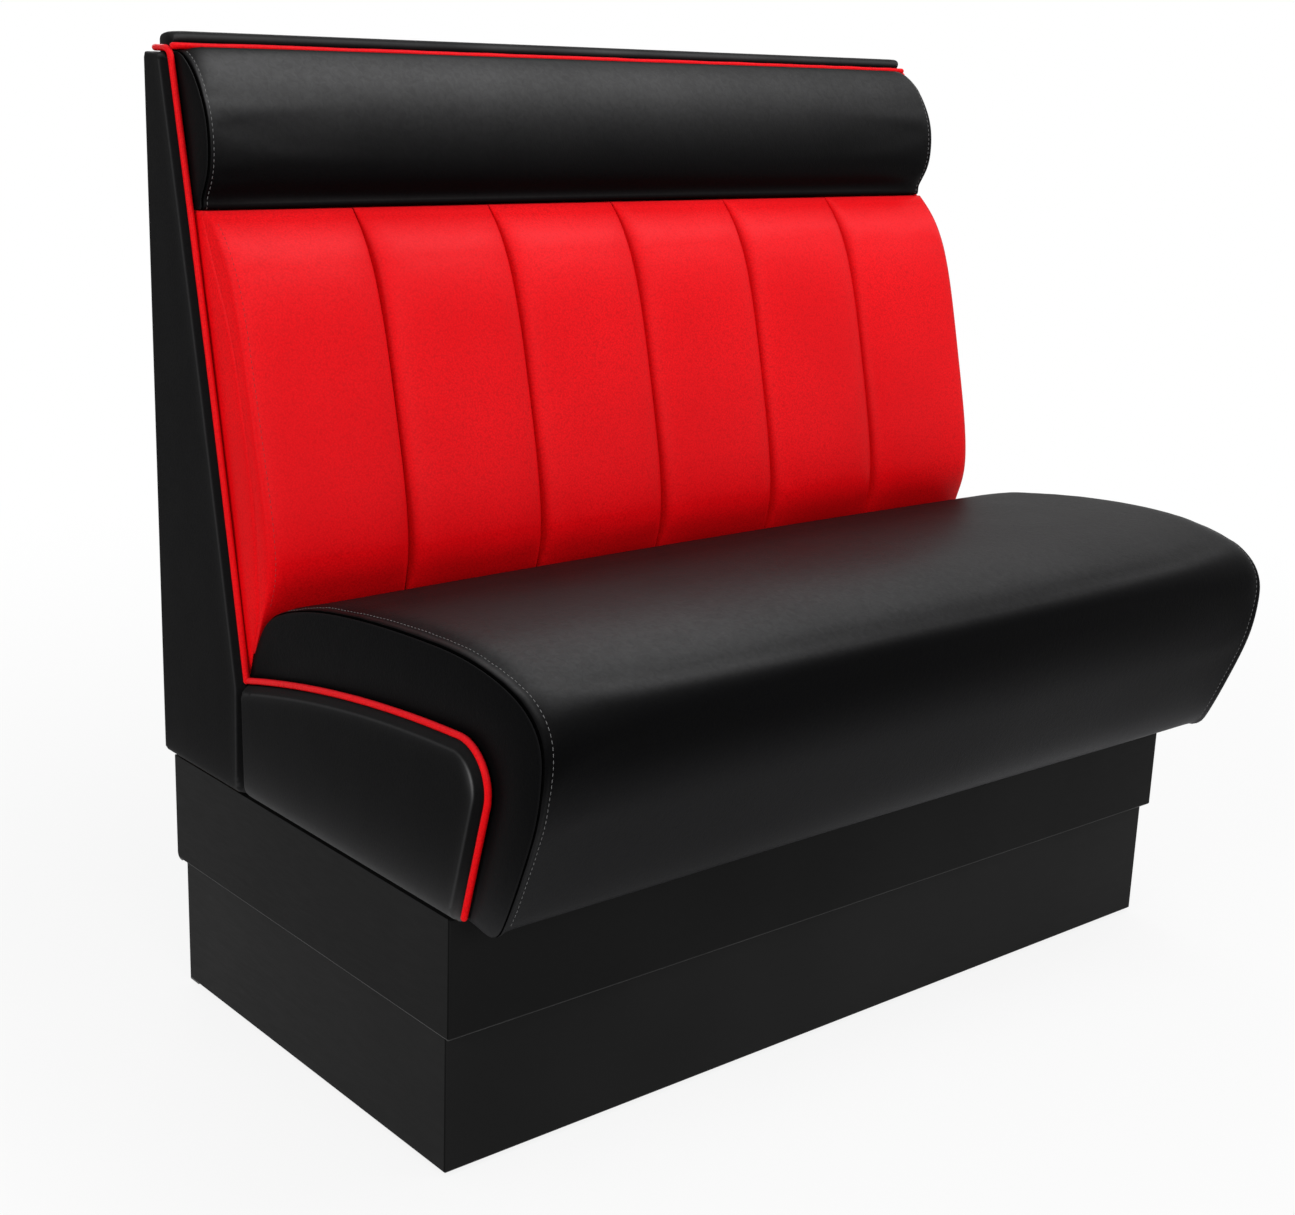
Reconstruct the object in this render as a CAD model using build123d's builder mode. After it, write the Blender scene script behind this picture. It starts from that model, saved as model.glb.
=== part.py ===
"""Restaurant booth bench: a two-tier base, a padded seat unit and a channelled back.

X runs to the sitter's left as seen from the front, Y runs to the back and Z runs up.
The origin is on the floor, at the middle of the bench's footprint.
"""

import os
from math import acos, cos, hypot, radians, sin, tan

from build123d import *

os.makedirs("parts", exist_ok=True)

# Overall size
overall_width = 952.0
overall_depth = 590.0
overall_height = 914.4
half_width = overall_width / 2
front_y = -overall_depth / 2
rear_y = overall_depth / 2

# Boards
board = 18.0
thin_board = 9.0
panel_thickness = 12.0
panel_round = 5.0
edge_chamfer = 1.5
rear_board_round = 7.0

# Plinth, the lower tier of the base
foot_gap = 4.0
plinth_width = 930.0
plinth_x = plinth_width / 2
plinth_depth = 452.0
plinth_height = 127.0
plinth_front_y = -174.5
plinth_rear_y = plinth_front_y + plinth_depth
plinth_top = foot_gap + plinth_height
post_side = 60.0
base_screw_margin = 12.0

# Riser, the upper tier of the base
riser_side_overhang = 4.0
riser_front_overhang = 9.0
riser_rear_overhang = 10.5
riser_height = 108.0
riser_x = plinth_x + riser_side_overhang
riser_front_y = plinth_front_y - riser_front_overhang
riser_rear_y = plinth_rear_y + riser_rear_overhang
riser_top = plinth_top + riser_height
riser_floor_thickness = 12.0
riser_rail_depth = 80.0

# Levelling glides
foot_radius = 22.0
foot_thickness = 3.8
foot_round = 1.2
stem_radius = 4.0
stem_clearance = 0.05
stem_bottom = 1.5
stem_top = 44.0
stem_key_flats = 4.0
stem_key_depth = 5.0
nut_flange_radius = 10.0
nut_flange_thickness = 1.5
nut_barrel_radius = 5.5
nut_length = 12.0
key_hole_radius = 5.5
glide_inset = 30.0
glide_x = plinth_x - glide_inset
glide_front_y = plinth_front_y + glide_inset
glide_rear_y = plinth_rear_y - glide_inset

# Screws and bolts
screw_radius = 2.25
screw_head_radius = 4.5
screw_head_height = 2.6
base_screw_length = 50.0
wing_screw_length = 26.0
bolt_radius = 4.0
bolt_clearance = 0.25
bolt_head_flats = 13.0
bolt_head_height = 5.3
bolt_nut_height = 6.5
bolt_tail = 3.0
bolt_xs = (-400.0, -80.0, 80.0, 400.0)

# Padded panels at the ends of the seat and of the back
panel_inner_x = half_width - panel_thickness
panel_bottom = 242.5
wing_top = 899.0
wing_top_cut = 6.0
wing_foot_y = 149.5
wing_screw_places = ((185.0, 275.0), (270.0, 300.0), (270.0, 560.0), (280.0, 820.0))
seat_panel_rear = (141.6, 348.5)
seat_panel_foot_y = 138.9

# Slope of the back: y grows with height along this line
slope_low = (147.0, 344.0)
slope_high = (263.0, 897.0)
slope_middle_z = 620.0
slope_bow = 2.5
back_plane_setback = 8.0
back_board_thickness = 12.2
rear_panel_thickness = 6.0
rear_panel_y = rear_y - rear_panel_thickness

# Back frame
rib_xs = (155.0, panel_inner_x - board / 2)
bottom_rail_thickness = 38.0
bottom_rail_depth = 90.0
bottom_rail_top = riser_top + bottom_rail_thickness
back_board_bottom = 340.0
rib_top = 880.0
top_rail_top = 898.0

# Seat frame
seat_rail_top = 335.0
seat_rail_front_y = -190.0
seat_rail_rear_y = 138.0
centre_rail_top = 300.0
cleat_x = (405.0, 445.0)
cleat_top = 290.0
cleat_clearance = 0.3
cleat_nose_gap = 0.5
cleat_drop = 20.0
cleat_nose_depth = 35.0
spring_count = 7
spring_spacing = 120.0
spring_wire_radius = 1.8
spring_half_width = 23.0
spring_front_y = -167.0
spring_rear_y = 115.0
spring_runs = 12
spring_z = 338.0
clip_width = 14.0
clip_thickness = 1.5
clip_ring_radius = 3.4
clip_clearance = 0.05
clip_margin = 2.0

# Soft parts
skin = 2.0
cushion_half = 461.5
boxing_thickness = 1.8
seat_foam_bottom = 342.0
seat_cover_bottom = 243.2
channel_count = 6
channel_width = 2 * cushion_half / channel_count
welt_radius = 3.25
welt_x = 467.2
seat_welt_corner = 38.0
seat_welt_foot = 247.5
back_welt_corner = 11.0
welt_gap = 0.3
back_welt_setback = 4.1
back_welt_rise = 8.0
back_welt_tail = 7.0
top_welt_y = 260.3
top_welt_z = 905.5
top_welt_margin = 0.5
top_welt_round = 0.6 * welt_radius

# Padded cap along the top edge, its section as points (y, z)
cap_half = 461.0
cap_bottom = top_rail_top + 0.1
cap_foot_y = 272.0
cap_heel = ((264.6, 900.9), (264.6, 909.2))
cap_lip = (259.0, 909.6)
cap_nose = (260.4, 912.6)
cap_crown = (266.0, overall_height - 0.3)
cap_back = (286.0, overall_height - 1.5)
cap_rear = (rear_y, 909.0)

# How far in from its seams a channel has its shoulders, and how far out they stand, from 0 to 1
channel_shoulder = 15.0
channel_fullness = 0.72

# Line of the seat's welt as points (y, z): level behind the front corner, falling to the rear, raked below
welt_corner = (-194.0, 359.5)
welt_rake = 105.7
welt_rear = (139.8, 353.4)
welt_middle = (-30.0, 384.3)

# Height, crest and seam of one back channel, from the hidden lower hem to the upper hem
channel_stations = (
    (372.0, 141.0, 143.0),
    (396.0, 131.5, 134.5),
    (427.0, 119.0, 129.0),
    (445.0, 111.5, 130.0),
    (481.0, 109.0, 132.0),
    (538.0, 121.0, 139.0),
    (601.0, 136.0, 153.0),
    (652.0, 149.0, 167.0),
    (694.0, 161.0, 185.0),
    (719.0, 172.0, 198.0),
    (741.0, 187.0, 208.0),
    (757.0, 203.0, 215.0),
    (763.5, 213.0, 219.0),
)

# Lower end of the boxings beside the channels, as (y, z)
boxing_foot = (145.0, 350.0)

# Seat cushion's section: y and z, what the crown's drop does to them, and what the cover's thickness does
seat_rear_bend = (143.5, 362.0, 0.0, -0.6, -1.0, 0.0)
seat_top_rear = (117.6, 427.0, 0.0, -1.0, -1.0, -1.0)
seat_top_middle = (-13.0, 456.0, 0.0, -1.0, 0.0, -1.0)
seat_top_front = (-160.0, 468.0, 0.0, -1.0, 0.0, -1.0)
seat_brow_middle = (-214.0, 463.5, 0.1, -1.0, 0.0, -1.0)
seat_brow = (-266.0, 449.0, 0.3, -0.9, 0.4, -0.9)
seat_nose_middle = (-286.5, 432.0, 0.3, -0.8, 0.75, -0.7)
seat_nose = (front_y + 1.36, 405.0, 0.3, -0.5, 1.0, 0.0)
seat_front_middle = (-275.5, 325.0, 0.25, 0.0, 1.0, 0.0)
seat_front_low = (-238.0, seat_cover_bottom, 0.2, 0.0, 1.0, 0.0)
seat_rail_gap = 0.2

# Distance along the bench and how far the seat cushion's crown has dropped there
seat_stations = (
    (-cushion_half, 7.0),
    (-447.0, 2.5),
    (-415.0, 0.0),
    (-200.0, -2.0),
    (0.0, -3.0),
    (200.0, -2.0),
    (415.0, 0.0),
    (447.0, 2.5),
    (cushion_half, 7.0),
)

# Head roll's section: y and z, what drawing in does to them, and what the cover's thickness does
roll_low = (217.5, 765.8, 9.0, 0.0, 1.0, 1.0)
roll_chin = (203.8, 796.0, 3.5, 0.0, 1.0, 0.0)
roll_belly = (202.0, 826.0, 2.0, 0.0, 1.0, 0.0)
roll_brow = (213.5, 872.0, 5.0, 0.0, 0.8, -0.6)
roll_high = (249.5, 904.5, 4.0, -3.5, 0.5, -1.0)
roll_bend_z = 895.0
roll_hem_shift = (-2.0, 3.0)

# Distance along the bench and how far the head roll is drawn in there, from 0 to 1
roll_stations = (
    (-cushion_half, 1.0),
    (-447.0, 0.35),
    (-415.0, 0.0),
    (0.0, -0.1),
    (415.0, 0.0),
    (447.0, 0.35),
    (cushion_half, 1.0),
)


def save(part, name):
    part.label = name
    export_step(part, f"parts/{name}.step")


def slope_y(z):
    """Front edge of the back's end panels at height z."""
    t = (z - slope_low[1]) / (slope_high[1] - slope_low[1])
    bow = 4 * slope_bow * t * (1 - t)
    return slope_low[0] + (slope_high[0] - slope_low[0]) * t - bow


def back_plane(z):
    """Front face of the sloped back board at height z."""
    t = (z - slope_low[1]) / (slope_high[1] - slope_low[1])
    return slope_low[0] + (slope_high[0] - slope_low[0]) * t + back_plane_setback


def slab(x_low, x_high, y_low, y_high, z_low, z_high):
    """A flat board between the given planes."""
    with BuildPart() as piece:
        with BuildSketch(Plane.XY.offset(z_low)):
            with Locations(((x_low + x_high) / 2, (y_low + y_high) / 2)):
                Rectangle(x_high - x_low, y_high - y_low)
        extrude(amount=z_high - z_low)
    return piece.part


def profile_board(points, x_low, x_high):
    """A board whose outline in the YZ plane is the polygon through the points."""
    with BuildPart() as piece:
        with BuildSketch(Plane.YZ.offset(x_low)):
            with BuildLine():
                Polyline(*points, close=True)
            make_face()
        extrude(amount=x_high - x_low)
    return piece.part


# Plinth panels, their outer edges eased
with BuildPart() as plinth_front:
    add(slab(-plinth_x, plinth_x, plinth_front_y, plinth_front_y + board, foot_gap, plinth_top))
    front_edges = plinth_front.faces().sort_by(Axis.Y)[0].edges()
    end_edges = plinth_front.faces().sort_by(Axis.Z)[0].edges().filter_by(Axis.Y)
    chamfer(front_edges + end_edges, edge_chamfer)
save(plinth_front.part, "plinth_front")

with BuildPart() as plinth_rear:
    add(slab(-plinth_x, plinth_x, plinth_rear_y - board, plinth_rear_y, foot_gap, plinth_top))
    corner_edges = plinth_rear.faces().sort_by(Axis.Y)[-1].edges().filter_by(Axis.Z)
    chamfer(corner_edges, edge_chamfer)
save(plinth_rear.part, "plinth_rear")

plinth_side_y = (plinth_front_y + board, plinth_rear_y - board)
with BuildPart() as plinth_left_side:
    add(slab(-plinth_x, -plinth_x + board, *plinth_side_y, foot_gap, plinth_top))
    outer_face = plinth_left_side.faces().sort_by(Axis.X)[0]
    chamfer(outer_face.edges().sort_by(Axis.Z)[0], edge_chamfer)
save(plinth_left_side.part, "plinth_left_side")

with BuildPart() as plinth_right_side:
    add(slab(plinth_x - board, plinth_x, *plinth_side_y, foot_gap, plinth_top))
    outer_face = plinth_right_side.faces().sort_by(Axis.X)[-1]
    chamfer(outer_face.edges().sort_by(Axis.Z)[0], edge_chamfer)
save(plinth_right_side.part, "plinth_right_side")

# Where the glides and the screws of the base stand
glide_places = {
    "front_left": (-glide_x, glide_front_y),
    "front_right": (glide_x, glide_front_y),
    "rear_left": (-glide_x, glide_rear_y),
    "rear_right": (glide_x, glide_rear_y),
}
post_edge = plinth_x - board
base_screw_inset = post_side - base_screw_margin
base_screw_places = []
for side in (-1, 1):
    screw_x = side * (post_edge - base_screw_inset)
    for end_y, inward in ((plinth_side_y[0], 1), (plinth_side_y[1], -1)):
        base_screw_places.append((screw_x, end_y + inward * base_screw_inset))
        base_screw_places.append((screw_x, end_y + inward * base_screw_margin))


def wood_screw_cutter(length):
    """A countersunk screw along Z, its head's top at the origin."""
    with BuildPart() as cutter:
        with BuildSketch(Plane.XZ):
            with BuildLine():
                Polyline(
                    (0, 0),
                    (screw_head_radius, 0),
                    (screw_radius, -screw_head_height),
                    (screw_radius, -length + 2 * screw_radius),
                    (0, -length),
                    close=True,
                )
            make_face()
        revolve(axis=Axis.Z)
    return cutter.part


# Corner posts, bored for the levelling stems and for the key that turns them
riser_floor_top = plinth_top + riser_floor_thickness
base_screw = wood_screw_cutter(base_screw_length)
with BuildPart() as plinth_corner_posts:
    with BuildSketch(Plane.XY.offset(foot_gap)):
        for side in (-1, 1):
            for end_y, inward in ((plinth_side_y[0], 1), (plinth_side_y[1], -1)):
                with Locations((side * (post_edge - post_side / 2), end_y + inward * post_side / 2)):
                    Rectangle(post_side, post_side)
    extrude(amount=plinth_height)
    with Locations(*[(x, y, foot_gap) for x, y in glide_places.values()]):
        Cylinder(nut_flange_radius, nut_flange_thickness, align=(Align.CENTER, Align.CENTER, Align.MIN),
                 mode=Mode.SUBTRACT)
        Cylinder(nut_barrel_radius, plinth_height, align=(Align.CENTER, Align.CENTER, Align.MIN),
                 mode=Mode.SUBTRACT)
    with Locations(*[(x, y, riser_floor_top) for x, y in base_screw_places]):
        add(base_screw, mode=Mode.SUBTRACT)
save(plinth_corner_posts.part, "plinth_corner_posts")

# Riser panels, eased like those of the plinth; the rear one is rounded along its lower edge
with BuildPart() as riser_front:
    add(slab(-riser_x, riser_x, riser_front_y, riser_front_y + board, plinth_top, riser_top))
    front_edges = riser_front.faces().sort_by(Axis.Y)[0].edges()
    end_edges = riser_front.faces().sort_by(Axis.Z)[0].edges().filter_by(Axis.Y)
    chamfer(front_edges + end_edges, edge_chamfer)
save(riser_front.part, "riser_front")

with BuildPart() as riser_rear:
    add(slab(-riser_x, riser_x, riser_rear_y - thin_board, riser_rear_y, plinth_top, riser_top))
    rear_face = riser_rear.faces().sort_by(Axis.Y)[-1]
    fillet(rear_face.edges().sort_by(Axis.Z)[0], rear_board_round)
save(riser_rear.part, "riser_rear")

riser_side_y = (riser_front_y + board, riser_rear_y - thin_board)
with BuildPart() as riser_left_side:
    add(slab(-riser_x, -riser_x + board, *riser_side_y, plinth_top, riser_top))
    outer_face = riser_left_side.faces().sort_by(Axis.X)[0]
    chamfer(outer_face.edges().sort_by(Axis.Z)[0], edge_chamfer)
save(riser_left_side.part, "riser_left_side")

with BuildPart() as riser_right_side:
    add(slab(riser_x - board, riser_x, *riser_side_y, plinth_top, riser_top))
    outer_face = riser_right_side.faces().sort_by(Axis.X)[-1]
    chamfer(outer_face.edges().sort_by(Axis.Z)[0], edge_chamfer)
save(riser_right_side.part, "riser_right_side")

riser_inner_x = riser_x - board
with BuildPart() as riser_floor:
    add(slab(-riser_inner_x, riser_inner_x, *riser_side_y, plinth_top, riser_floor_top))
    with Locations(*[(x, y, plinth_top) for x, y in glide_places.values()]):
        Cylinder(key_hole_radius, riser_floor_thickness, align=(Align.CENTER, Align.CENTER, Align.MIN),
                 mode=Mode.SUBTRACT)
    with Locations(*[(x, y, riser_floor_top) for x, y in base_screw_places]):
        add(base_screw, mode=Mode.SUBTRACT)
save(riser_floor.part, "riser_floor")

with BuildPart() as base_screws:
    with Locations(*[(x, y, riser_floor_top) for x, y in base_screw_places]):
        add(base_screw)
save(base_screws.part, "base_screws")

# The back's bottom rail is bolted through the rail at the rear of the riser
bolt_y = riser_rear_y - thin_board - riser_rail_depth / 2
riser_rail_bottom = riser_top - board
with BuildPart() as riser_rear_rail:
    add(slab(-riser_inner_x, riser_inner_x, riser_side_y[1] - riser_rail_depth, riser_side_y[1],
             riser_rail_bottom, riser_top))
    with Locations(*[(x, bolt_y, riser_rail_bottom) for x in bolt_xs]):
        Cylinder(bolt_radius + bolt_clearance, board, align=(Align.CENTER, Align.CENTER, Align.MIN),
                 mode=Mode.SUBTRACT)
save(riser_rear_rail.part, "riser_rear_rail")

bolt_places = [(x, bolt_y) for x in bolt_xs]
with BuildPart() as back_bolts:
    with BuildSketch(Plane.XY.offset(riser_rail_bottom - bolt_nut_height - bolt_tail)):
        with Locations(*bolt_places):
            Circle(bolt_radius)
    extrude(amount=bottom_rail_top - riser_rail_bottom + bolt_nut_height + bolt_tail)
    with BuildSketch(Plane.XY.offset(bottom_rail_top)):
        with Locations(*bolt_places):
            RegularPolygon(bolt_head_flats / 2, 6, major_radius=False)
    extrude(amount=bolt_head_height)
    with BuildSketch(Plane.XY.offset(riser_rail_bottom)):
        with Locations(*bolt_places):
            RegularPolygon(bolt_head_flats / 2, 6, major_radius=False)
    extrude(amount=-bolt_nut_height)
save(back_bolts.part, "back_bolts")

# Glides: a nut driven into each post, a stem with a key socket and a swivelling foot
with BuildPart() as glide_nuts:
    with Locations(*[(x, y, foot_gap) for x, y in glide_places.values()]):
        Cylinder(nut_flange_radius, nut_flange_thickness, align=(Align.CENTER, Align.CENTER, Align.MIN))
        Cylinder(nut_barrel_radius, nut_length, align=(Align.CENTER, Align.CENTER, Align.MIN))
        Cylinder(stem_radius + stem_clearance, nut_length, align=(Align.CENTER, Align.CENTER, Align.MIN),
                 mode=Mode.SUBTRACT)
save(glide_nuts.part, "glide_nuts")

for place, (glide_at_x, glide_at_y) in glide_places.items():
    with BuildPart() as glide_foot:
        with BuildSketch(Plane.XY):
            with Locations((glide_at_x, glide_at_y)):
                Circle(foot_radius)
        extrude(amount=foot_thickness)
        fillet(glide_foot.edges().sort_by(Axis.Z)[-1], foot_round)
        with BuildSketch(Plane.XY.offset(foot_thickness)):
            with Locations((glide_at_x, glide_at_y)):
                Circle(stem_radius + stem_clearance)
        extrude(amount=stem_bottom - foot_thickness, mode=Mode.SUBTRACT)
    save(glide_foot.part, f"glide_foot_{place}")

    with BuildPart() as glide_stem:
        with BuildSketch(Plane.XY.offset(stem_bottom)):
            with Locations((glide_at_x, glide_at_y)):
                Circle(stem_radius)
        extrude(amount=stem_top - stem_bottom)
        with BuildSketch(Plane.XY.offset(stem_top)):
            with Locations((glide_at_x, glide_at_y)):
                RegularPolygon(stem_key_flats / 2, 6, major_radius=False)
        extrude(amount=-stem_key_depth, mode=Mode.SUBTRACT)
    save(glide_stem.part, f"glide_stem_{place}")

# Back frame: ribs, rails and the sloped board
rib_front_low = back_plane(back_board_bottom) + back_board_thickness
rib_front_high = back_plane(rib_top) + back_board_thickness
outer_rib_points = (
    (rib_front_low, riser_top),
    (rib_front_low, back_board_bottom),
    (rib_front_high, rib_top),
    (rear_panel_y, rib_top),
    (rear_panel_y, riser_top),
)
inner_rib_points = (
    (rib_front_low, bottom_rail_top),
    (rib_front_low, back_board_bottom),
    (rib_front_high, rib_top),
    (rear_panel_y, rib_top),
    (rear_panel_y, bottom_rail_top),
)
wing_screw = wood_screw_cutter(wing_screw_length)


def wing_screw_locations(side):
    """Screws driven outwards from the inner face of an outer rib."""
    x = side * (panel_inner_x - board)
    return [Location((x, y, z), (0, -90 * side, 0)) for y, z in wing_screw_places]


with BuildPart() as back_ribs:
    for side in (-1, 1):
        rib_x = side * rib_xs[1]
        add(profile_board(outer_rib_points, rib_x - board / 2, rib_x + board / 2))
        rib_x = side * rib_xs[0]
        add(profile_board(inner_rib_points, rib_x - board / 2, rib_x + board / 2))
    for side in (-1, 1):
        with Locations(*wing_screw_locations(side)):
            add(wing_screw, mode=Mode.SUBTRACT)
save(back_ribs.part, "back_ribs")

with BuildPart() as wing_screws:
    for side in (-1, 1):
        with Locations(*wing_screw_locations(side)):
            add(wing_screw)
save(wing_screws.part, "wing_screws")

rail_x = panel_inner_x - board
with BuildPart() as back_bottom_rail:
    add(slab(-rail_x, rail_x, rear_panel_y - bottom_rail_depth, rear_panel_y, riser_top, bottom_rail_top))
    with Locations(*[(x, bolt_y, riser_top) for x in bolt_xs]):
        Cylinder(bolt_radius + bolt_clearance, bottom_rail_thickness,
                 align=(Align.CENTER, Align.CENTER, Align.MIN), mode=Mode.SUBTRACT)
save(back_bottom_rail.part, "back_bottom_rail")

with BuildPart() as back_top_rail:
    add(profile_board(
        (
            (back_plane(rib_top), rib_top),
            (back_plane(top_rail_top), top_rail_top),
            (rear_panel_y, top_rail_top),
            (rear_panel_y, rib_top),
        ),
        -panel_inner_x,
        panel_inner_x,
    ))
save(back_top_rail.part, "back_top_rail")

with BuildPart() as back_board:
    add(profile_board(
        (
            (back_plane(back_board_bottom), back_board_bottom),
            (back_plane(rib_top), rib_top),
            (rib_front_high, rib_top),
            (rib_front_low, back_board_bottom),
        ),
        -panel_inner_x,
        panel_inner_x,
    ))
save(back_board.part, "back_board")

with BuildPart() as back_rear_panel:
    add(slab(-panel_inner_x, panel_inner_x, rear_panel_y, rear_y, panel_bottom, top_rail_top))
save(back_rear_panel.part, "back_rear_panel")


# Padded wings at the ends of the back, cut off at the top front corner for the welt
wing_brow = (slope_y(wing_top - wing_top_cut), wing_top - wing_top_cut)


def wing(side):
    with BuildPart() as piece:
        with BuildSketch(Plane.YZ.offset(side * panel_inner_x)):
            with BuildLine():
                Polyline(
                    wing_brow,
                    (wing_brow[0] + wing_top_cut, wing_top),
                    (rear_y, wing_top),
                    (rear_y, panel_bottom),
                    (wing_foot_y, panel_bottom),
                    slope_low,
                )
                ThreePointArc(slope_low, (slope_y(slope_middle_z), slope_middle_z), wing_brow)
            make_face()
        extrude(amount=side * panel_thickness)
        outer_face = piece.faces().sort_by(Axis.X)[-1 if side > 0 else 0]
        fillet(outer_face.edges(), panel_round)
        with Locations(*wing_screw_locations(side)):
            add(wing_screw, mode=Mode.SUBTRACT)
    return piece.part


save(wing(-1), "back_left_wing")
save(wing(1), "back_right_wing")


# Round welt along the front edge of a wing, turning back over its top
def back_welt(side):
    start_z = slope_low[1] + back_welt_rise
    low = (slope_y(start_z) - back_welt_setback, start_z)
    middle = (slope_y(slope_middle_z) - back_welt_setback, slope_middle_z)
    run = (slope_high[0] - slope_low[0]) / (slope_high[1] - slope_low[1])
    lean = (run / hypot(run, 1), 1 / hypot(run, 1))
    turn = acos(lean[0])
    top_z = wing_top + welt_radius + welt_gap
    rise = sin(turn) * lean[1] - (1 - cos(turn)) * lean[0]
    shift = sin(turn) * lean[0] + (1 - cos(turn)) * lean[1]
    corner_z = top_z - back_welt_corner * rise
    high = (slope_y(corner_z) - back_welt_setback, corner_z)
    over = (high[0] + back_welt_corner * shift, top_z)
    with BuildPart() as piece:
        with BuildLine(Plane.YZ.offset(side * welt_x)) as path:
            rise_edge = ThreePointArc(low, middle, high)
            TangentArc(high, over, tangent=rise_edge % 1)
            Line(over, (rear_y - back_welt_tail, top_z))
        with BuildSketch(Plane(origin=path.line @ 0, z_dir=path.line % 0)):
            Circle(welt_radius)
        sweep(path=path.line)
    return piece.part


save(back_welt(-1), "back_left_welt")
save(back_welt(1), "back_right_welt")

# Welt and padded cap along the top edge
top_welt_half = panel_inner_x - top_welt_margin
with BuildPart() as top_welt:
    with BuildSketch(Plane.YZ.offset(-top_welt_half)):
        with Locations((top_welt_y, top_welt_z)):
            Circle(welt_radius)
    extrude(amount=2 * top_welt_half)
    fillet(top_welt.edges().filter_by(GeomType.CIRCLE), top_welt_round)
save(top_welt.part, "top_welt")

with BuildPart() as top_cap:
    with BuildSketch(Plane.YZ.offset(-cap_half)):
        with BuildLine():
            Polyline(cap_rear, (rear_y, cap_bottom), (cap_foot_y, cap_bottom), *cap_heel, cap_lip)
            ThreePointArc(cap_lip, cap_nose, cap_crown)
            ThreePointArc(cap_crown, cap_back, cap_rear)
        make_face()
    extrude(amount=2 * cap_half)
save(top_cap.part, "top_cap")


def moved(point, first, second):
    """A section's point, moved by two amounts times the shares that it lists after y and z."""
    y, z, first_y, first_z, second_y, second_z = point
    return (y + first_y * first + second_y * second, z + first_z * first + second_z * second)


# Head roll
def roll_outline(drawn_in, inset):
    """Edges of the head roll's section; inset gives the foam under the cover."""
    low, chin, belly, brow, high = [
        moved(point, drawn_in, inset)
        for point in (roll_low, roll_chin, roll_belly, roll_brow, roll_high)
    ]
    bend_z = roll_bend_z - inset
    hem = (back_plane(bend_z) + roll_hem_shift[0], bend_z + roll_hem_shift[1])
    ThreePointArc(low, chin, belly)
    ThreePointArc(belly, brow, high)
    Polyline(high, hem, (back_plane(bend_z), bend_z), (back_plane(low[1]), low[1]), low)


with BuildPart() as headroll_foam:
    for station_x, drawn_in in roll_stations:
        with BuildSketch(Plane.YZ.offset(station_x)):
            with BuildLine():
                roll_outline(drawn_in, skin)
            make_face()
    loft(ruled=True)
save(headroll_foam.part, "headroll_foam")

with BuildPart() as headroll_cover:
    for station_x, drawn_in in roll_stations:
        with BuildSketch(Plane.YZ.offset(station_x)):
            with BuildLine():
                roll_outline(drawn_in, 0.0)
            make_face()
    loft(ruled=True)
    add(headroll_foam.part, mode=Mode.SUBTRACT)
save(headroll_cover.part, "headroll_cover")

with BuildPart() as headroll_ends:
    for side in (-1, 1):
        with BuildSketch(Plane.YZ.offset(side * cushion_half)):
            with BuildLine():
                roll_outline(1.0, 0.0)
            make_face()
        extrude(amount=side * boxing_thickness)
save(headroll_ends.part, "headroll_ends")

# Vertical channels of the back, each a pillow sewn in at its sides and hems
for index in range(channel_count):
    channel_left = -cushion_half + index * channel_width
    channel_right = channel_left + channel_width
    channel_middle = channel_left + channel_width / 2
    with BuildPart() as channel:
        for height, crest, seam in channel_stations:
            with BuildSketch(Plane.XY.offset(height)):
                shoulder = seam + (crest - seam) * channel_fullness
                with BuildLine():
                    Polyline(
                        (channel_left + channel_shoulder, shoulder),
                        (channel_left, seam),
                        (channel_left, back_plane(height)),
                        (channel_right, back_plane(height)),
                        (channel_right, seam),
                        (channel_right - channel_shoulder, shoulder),
                    )
                    ThreePointArc(
                        (channel_left + channel_shoulder, shoulder),
                        (channel_middle, crest),
                        (channel_right - channel_shoulder, shoulder),
                    )
                make_face()
        loft(ruled=True)
    save(channel.part, f"back_channel_{index + 1}")


# Red boxing closing the two ends of the channelled back
def back_boxing(side):
    front_points = [boxing_foot] + [(seam, height) for height, _, seam in channel_stations]
    with BuildPart() as piece:
        with BuildSketch(Plane.YZ.offset(side * cushion_half)):
            with BuildLine():
                Polyline(
                    *front_points,
                    (back_plane(channel_stations[-1][0]), channel_stations[-1][0]),
                    (back_plane(boxing_foot[1]), boxing_foot[1]),
                    close=True,
                )
            make_face()
        extrude(amount=side * boxing_thickness)
    return piece.part


save(back_boxing(-1), "back_left_boxing")
save(back_boxing(1), "back_right_boxing")

# Seat frame
with BuildPart() as seat_front_rail:
    add(slab(-rail_x, rail_x, seat_rail_front_y, seat_rail_front_y + board, riser_top, seat_rail_top))
save(seat_front_rail.part, "seat_front_rail")

with BuildPart() as seat_rear_rail:
    add(slab(-rail_x, rail_x, seat_rail_rear_y - board, seat_rail_rear_y, riser_top, seat_rail_top))
save(seat_rear_rail.part, "seat_rear_rail")

with BuildPart() as seat_side_rails:
    for side in (-1, 1):
        rail_xs = sorted((side * rail_x, side * panel_inner_x))
        add(slab(*rail_xs, seat_rail_front_y, seat_rail_rear_y, riser_top, seat_rail_top))
save(seat_side_rails.part, "seat_side_rails")

with BuildPart() as seat_centre_rail:
    add(slab(-board / 2, board / 2, seat_rail_front_y + board, seat_rail_rear_y - board,
             riser_top, centre_rail_top))
save(seat_centre_rail.part, "seat_centre_rail")

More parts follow.
